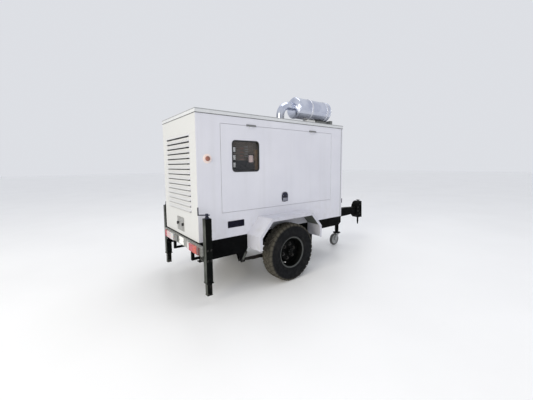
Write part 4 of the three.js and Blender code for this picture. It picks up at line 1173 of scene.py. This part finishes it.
def exhaust_pipe():
    """Bent pipe from the roof to the silencer, with its flanges and the cover ring on the roof."""
    y = (PIPE_LOW.y + PIPE_HIGH.y) / 2
    top = PIPE_HIGH.z - PIPE_RADIUS
    foot_x = PIPE_LOW.x + PIPE_RADIUS
    bend = PIPE_BEND
    path = [(foot_x, y, PIPE_LOW.z), (foot_x, y, ROOF_TOP + 0.03)]
    for k in range(0, 17):
        a = math.pi / 2 * k / 16
        path.append((foot_x + bend - bend * math.cos(a), y, top - bend + bend * math.sin(a)))
    path.append((PIPE_HIGH.x - 0.001, y, top))
    add.tube(path, PIPE_RADIUS, 40)
    piece("exhaust_pipe", STEEL, "trailer", ("exhaust_elbow",))
    r = PIPE_RADIUS
    add.lathe([(r + 0.0004, 0.0004), (r + 0.040, 0.0004), (r + 0.040, 0.004), (r + 0.010, 0.006),
               (r + 0.006, 0.022), (r + 0.0004, 0.022)], "Z", 48, (foot_x, y, ROOF_TOP))
    piece("roof_collar", ZINC, bevel=0.001)
    for k in range(6):
        offset = Vector(to_axis("Z", r + 0.030, math.radians(60 * k + 30), 0.0042))
        add.bolt(Vector((foot_x, y, ROOF_TOP)) + offset, "Z", 0.011, 0.006, 1)
    piece("roof_collar_bolts", BOLT, bevel=0.0004)
    for x in (foot_x + bend + 0.010, SHELL_LOW.x - 0.012):
        add.lathe([(r + 0.0002, x), (r + 0.006, x), (r + 0.006, x + 0.010), (r + 0.0002, x + 0.010)], "X", 48,
                  (0, y, top))
    piece("exhaust_seams", STEEL, bevel=0.001)


def silencer_cradle():
    """Roof plate, white foot block, grey saddle, two bands round the shell, and the end block."""
    y = SHELL_AT.y
    low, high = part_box("muffler_bracket")
    foot = low.z
    add.box((low.x, y - 0.070, foot), (high.x, y + 0.070, foot + 0.006))
    for side in (-1, 1):
        lip = sorted((y + side * 0.070, y + side * 0.066))
        add.box((low.x, lip[0], foot + 0.0055), (high.x, lip[1], foot + 0.020))
    piece("roof_plate", CANOPY, "trailer", ("muffler_bracket",), bevel=0.001)
    cup = SHELL_RADIUS + 0.0012
    rise = []
    for k in range(13):
        a = math.radians(-18 + 36 * k / 12)
        rise.append((y + cup * math.sin(a), SHELL_AT.z - cup * math.cos(a)))
    saddle = [(y - 0.055, foot + 0.0062), (y + 0.055, foot + 0.0062)] + rise[::-1]
    add.prism(saddle, "X", *SADDLE_BLOCK)
    add.box((END_BLOCK, y - 0.050, foot + 0.0062), (END_BLOCK + 0.060, y + 0.050, foot + 0.098))
    add.box((END_BLOCK - 0.032, y - 0.006, foot + 0.0062), (END_BLOCK + 0.001, y + 0.006, foot + 0.070))
    piece("silencer_saddle", SADDLE_GREY, bevel=0.002)
    add.prism(saddle, "X", *FOOT_BLOCK)
    piece("silencer_foot", COLLAR, bevel=0.003)
    r = SHELL_RADIUS
    for x in BAND_PLACES:
        add.lathe([(r - 0.0034, x - 0.014), (r - 0.0004, x - 0.015), (r + 0.0012, x - 0.012),
                   (r + 0.0012, x + 0.012), (r - 0.0004, x + 0.015), (r - 0.0034, x + 0.014)], "X", 72,
                  (0, y, SHELL_AT.z))
    piece("silencer_bands", BRIGHT_BAND)
    for x in (low.x + 0.05, FOOT_BLOCK[0] - 0.04, FOOT_BLOCK[1] + 0.015, high.x - 0.05):
        for side in (-1, 1):
            add.bolt((x, y + side * 0.058, foot + 0.0058), "Z", 0.010, 0.006, 1)
    piece("cradle_bolts", BOLT, bevel=0.0004)


silencer()
exhaust_pipe()
silencer_cradle()


# ---- jockey wheel, jacks and coupling ----

JACK_Y, JACK_TOP = 0.727, 1.034
JACK_BOLTS = (0.535, 0.660)
WELD_X, WELD_Y, WELD_LOW, WELD_STEP = 0.0402, 0.686, 0.508, 0.0225


def jockey_wheel():
    """Solid tyre on a pressed hub with a turned boss and five bolts on each face."""
    at = middle("jockey_wheel")
    low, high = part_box("jockey_wheel")
    r = (high.z - low.z) / 2 - 0.0002
    half = (high.y - low.y) / 2 - 0.0002
    tread = [(0.086, half - 0.003), (0.090, half), (r - 0.008, half), (r - 0.002, half - 0.005),
             (r, half - 0.010)]
    add.lathe(tread + [(a, -b) for a, b in tread[::-1]], "Y", 64, at)
    piece("jockey_tyre", GREY_TYRE, "jockey_wheel", ("jockey_wheel",), bevel=0.0008)
    side = [(0.0088, 0.025), (0.020, 0.025), (0.024, 0.020), (0.026, 0.009), (0.068, 0.007), (0.076, 0.012),
            (0.082, half - 0.001), (0.0885, half - 0.001), (0.0885, half - 0.004)]
    add.lathe(side + [(a, -b) for a, b in side[::-1]], "Y", 64, at)
    piece("jockey_hub", PALE_GREY, "jockey_wheel", bevel=0.0006)
    for s in (-1, 1):
        for k in range(5):
            offset = Vector(to_axis("Y", 0.048, math.radians(72 * k), s * 0.0078))
            add.bolt(at + offset, "Y", 0.010, 0.005, s)
    piece("jockey_hub_bolts", BOLT, "jockey_wheel")


def jack_trim(side, s):
    """Bracket bolts, the cap under the crank and the weld along the bracket."""
    low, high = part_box(f"jack_tube_{side}")
    x = (low.x + high.x) / 2
    for z in JACK_BOLTS:
        for dx in (-0.022, 0.022):
            add.bolt((x + dx, s * 0.7674, z), "Y", 0.017, 0.009, s)
            add.bolt((x - 0.0404, s * 0.640 + dx * 0.5, z), "X", 0.013, 0.006, -1)
    piece(f"jack_bolts_{side}", DARK_BOLT, bevel=0.0005)
    add.lathe([(0.0182, 0.0004), (0.034, 0.0004), (0.034, 0.004), (0.026, 0.008), (0.024, 0.018),
               (0.0182, 0.018)], "Z", 32, (x, s * JACK_Y, JACK_TOP))
    piece(f"jack_cap_{side}", NAVY, bevel=0.0006)
    for edge in (-WELD_X, WELD_X):
        path = [(x + edge, s * WELD_Y, WELD_LOW + WELD_STEP * k) for k in range(9)]
        add.tube(path, 0.0028, 8)
    piece(f"jack_weld_{side}", CHASSIS)


def coupling_trim():
    """Bolt heads in the cheeks of the towing jaw."""
    low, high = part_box("hitch_jaw")
    for s in (-1, 1):
        for x, z in ((low.x + 0.065, 0.60), (low.x + 0.065, 0.68), (high.x - 0.055, 0.53),
                     (high.x - 0.065, 0.745)):
            add.bolt((x, s * 0.0632, z), "Y", 0.024, 0.0085, s)
    piece("coupling_bolts", DARK_BOLT, bevel=0.0006)


jockey_wheel()
coupling_trim()
for side, s in SIDES:
    jack_trim(side, s)


# ---- machinery seen through the open doors ----


def machinery():
    """Air filter, hoses, fan shroud, bolts, filters and battery fittings."""
    fan = middle("cooling_fan")
    x = CENTRE_X
    add.lathe([(0, x + 0.300), (0.080, x + 0.300), (0.088, x + 0.308), (0.088, x + 0.430), (0.084, x + 0.436),
               (0.084, x + 0.640), (0.088, x + 0.646), (0.088, x + 0.690), (0.040, x + 0.700),
               (0.040, x + 0.740), (0, x + 0.740)], "X", 40, (0, 0.130, 1.520))
    add.box((x + 0.40, 0.06, 1.345), (x + 0.46, 0.14, 1.450))
    add.box((x + 0.58, 0.06, 1.345), (x + 0.64, 0.14, 1.450))
    piece("air_filter", BLACK_PLASTIC, bevel=0.002)
    top_hose = [(x + 0.860, 0, 1.40), (x + 0.862, 0, 1.47), (x + 0.90, 0, 1.52), (x + 0.97, 0, 1.545),
                (x + 1.06, 0, 1.550), (x + 1.160, 0, 1.550)]
    low_hose = [(x + 0.925, -0.14, 0.93), (x + 0.98, -0.15, 0.92), (x + 1.03, -0.17, 0.87),
                (x + 1.08, -0.20, 0.80), (x + 1.155, -0.21, 0.775)]
    add.tube(top_hose, 0.028, 20)
    add.tube(low_hose, 0.026, 20)
    piece("radiator_hoses", GASKET)
    add.lathe([(0.272, fan.x - 0.035), (0.276, fan.x - 0.035), (0.276, fan.x + 0.035), (0.330, fan.x + 0.058),
               (0.330, fan.x + 0.0595), (0.272, fan.x + 0.038)], "X", 56, (0, fan.y, fan.z))
    piece("fan_shroud", BLACK_PLASTIC, bevel=0.0006)
    for k in range(6):
        for s in (-1, 1):
            add.bolt((x + 0.27 + 0.11 * k, s * 0.096, 1.3596), "Z", 0.018, 0.010, 1)
            add.bolt((x + 0.25 + 0.12 * k, s * 0.1996, 0.87), "Y", 0.018, 0.010, s)
    for k in range(8):
        offset = Vector(to_axis("X", 0.222, math.radians(45 * k + 22), -0.0004))
        add.bolt(Vector((x + 0.150, 0, 1.010)) + offset, "X", 0.018, 0.008, -1)
    piece("engine_bolts", BOLT, bevel=0.0005)
    for y, s in ((-0.2004, -1), (0.2004, 1)):
        for dx in (0.42, 0.56):
            add.lathe([(0, 0), (0.036, 0), (0.036, s * 0.010), (0.040, s * 0.014), (0.040, s * 0.105),
                       (0.034, s * 0.112), (0, s * 0.112)], "Y", 28, (x + dx, y, 0.985))
    piece("spin_on_filters", PALE_GREY, bevel=0.001)
    low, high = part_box("battery")
    for k in range(6):
        add.lathe([(0, 0.0004), (0.013, 0.0004), (0.013, 0.005), (0, 0.006)], "Z", 20,
                  (low.x + 0.045 + 0.05 * k, (low.y + high.y) / 2, high.z))
    add.box((low.x + 0.14, low.y - 0.003, high.z + 0.0003), (low.x + 0.165, high.y + 0.003, high.z + 0.004))
    piece("battery_caps", PALE_GREY, bevel=0.001)
    for dx in (0.03, 0.31):
        add.lathe([(0, 0.0004), (0.009, 0.0004), (0.008, 0.020), (0, 0.020)], "Z", 20,
                  (low.x + dx, low.y + 0.035, high.z))
    piece("battery_posts", BOLT, bevel=0.0006)


machinery()


# ---- camera, light and floor ----

EYE = (-3.382, -3.625, 1.649)
FLOOR_Z = -0.001
FLOOR_REACH = 60


def camera():
    """Camera at the rear near corner, at standing eye height."""
    yaw, pitch, roll = (math.radians(a) for a in (37.261, 5.612, -0.545))
    data = bpy.data.cameras.new("camera")
    data.sensor_width = 36.0
    data.lens = 18.365
    data.shift_x = 0.0046
    data.shift_y = -0.0153
    obj = bpy.data.objects.new("camera", data)
    aim = Matrix.Rotation(-yaw, 4, "Z") @ Matrix.Rotation(math.pi / 2 - pitch, 4, "X")
    turn = aim @ Matrix.Rotation(roll, 4, "Z")
    obj.matrix_world = Matrix.Translation(EYE) @ turn
    bpy.context.scene.collection.objects.link(obj)
    bpy.context.scene.camera = obj


def area_light(name, at, target, size, power, color):
    data = bpy.data.lights.new(name, "AREA")
    data.shape = "RECTANGLE"
    data.size, data.size_y = size
    data.energy = power
    data.color = color
    obj = bpy.data.objects.new(name, data)
    obj.location = at
    obj.rotation_euler = (Vector(target) - Vector(at)).to_track_quat("-Z", "Y").to_euler()
    bpy.context.scene.collection.objects.link(obj)


def studio():
    """High-key studio: a bright world, a key on the tail, a weak fill on the near side and a top light."""
    world = bpy.data.worlds.new("studio")
    bpy.context.scene.world = world
    world.use_nodes = True
    background = world.node_tree.nodes["Background"]
    background.inputs["Color"].default_value = (0.93, 0.95, 1.0, 1.0)
    background.inputs["Strength"].default_value = 0.78
    target = (0, 0, 1.2)
    area_light("key", (-14, -4, 5), (0, 0, 1.1), (6, 6), 1020, (1.0, 0.94, 0.80))
    area_light("fill", (-1, -9, 4), target, (6, 4), 18, (0.93, 0.94, 1.0))
    area_light("top", (0.5, 0, 8), target, (6, 4), 120, (1.0, 1.0, 1.0))
    bpy.context.scene.view_settings.view_transform = "Standard"


def floor():
    """Plain pale studio floor with a faint polish."""
    r = Recipe("floor_pale", 0.4)
    r.ground((0.93, 0.93, 0.93), (0.96, 0.96, 0.96), 0.6)
    r.gloss(2, 0.30, 0.42)
    material = r.done()
    corners = [(x * FLOOR_REACH, y * FLOOR_REACH, FLOOR_Z) for x, y in ((-1, -1), (1, -1), (1, 1), (-1, 1))]
    add.bm.faces.new([add.bm.verts.new(corner) for corner in corners])
    obj = piece("studio_floor", material, None)


camera()
studio()
floor()
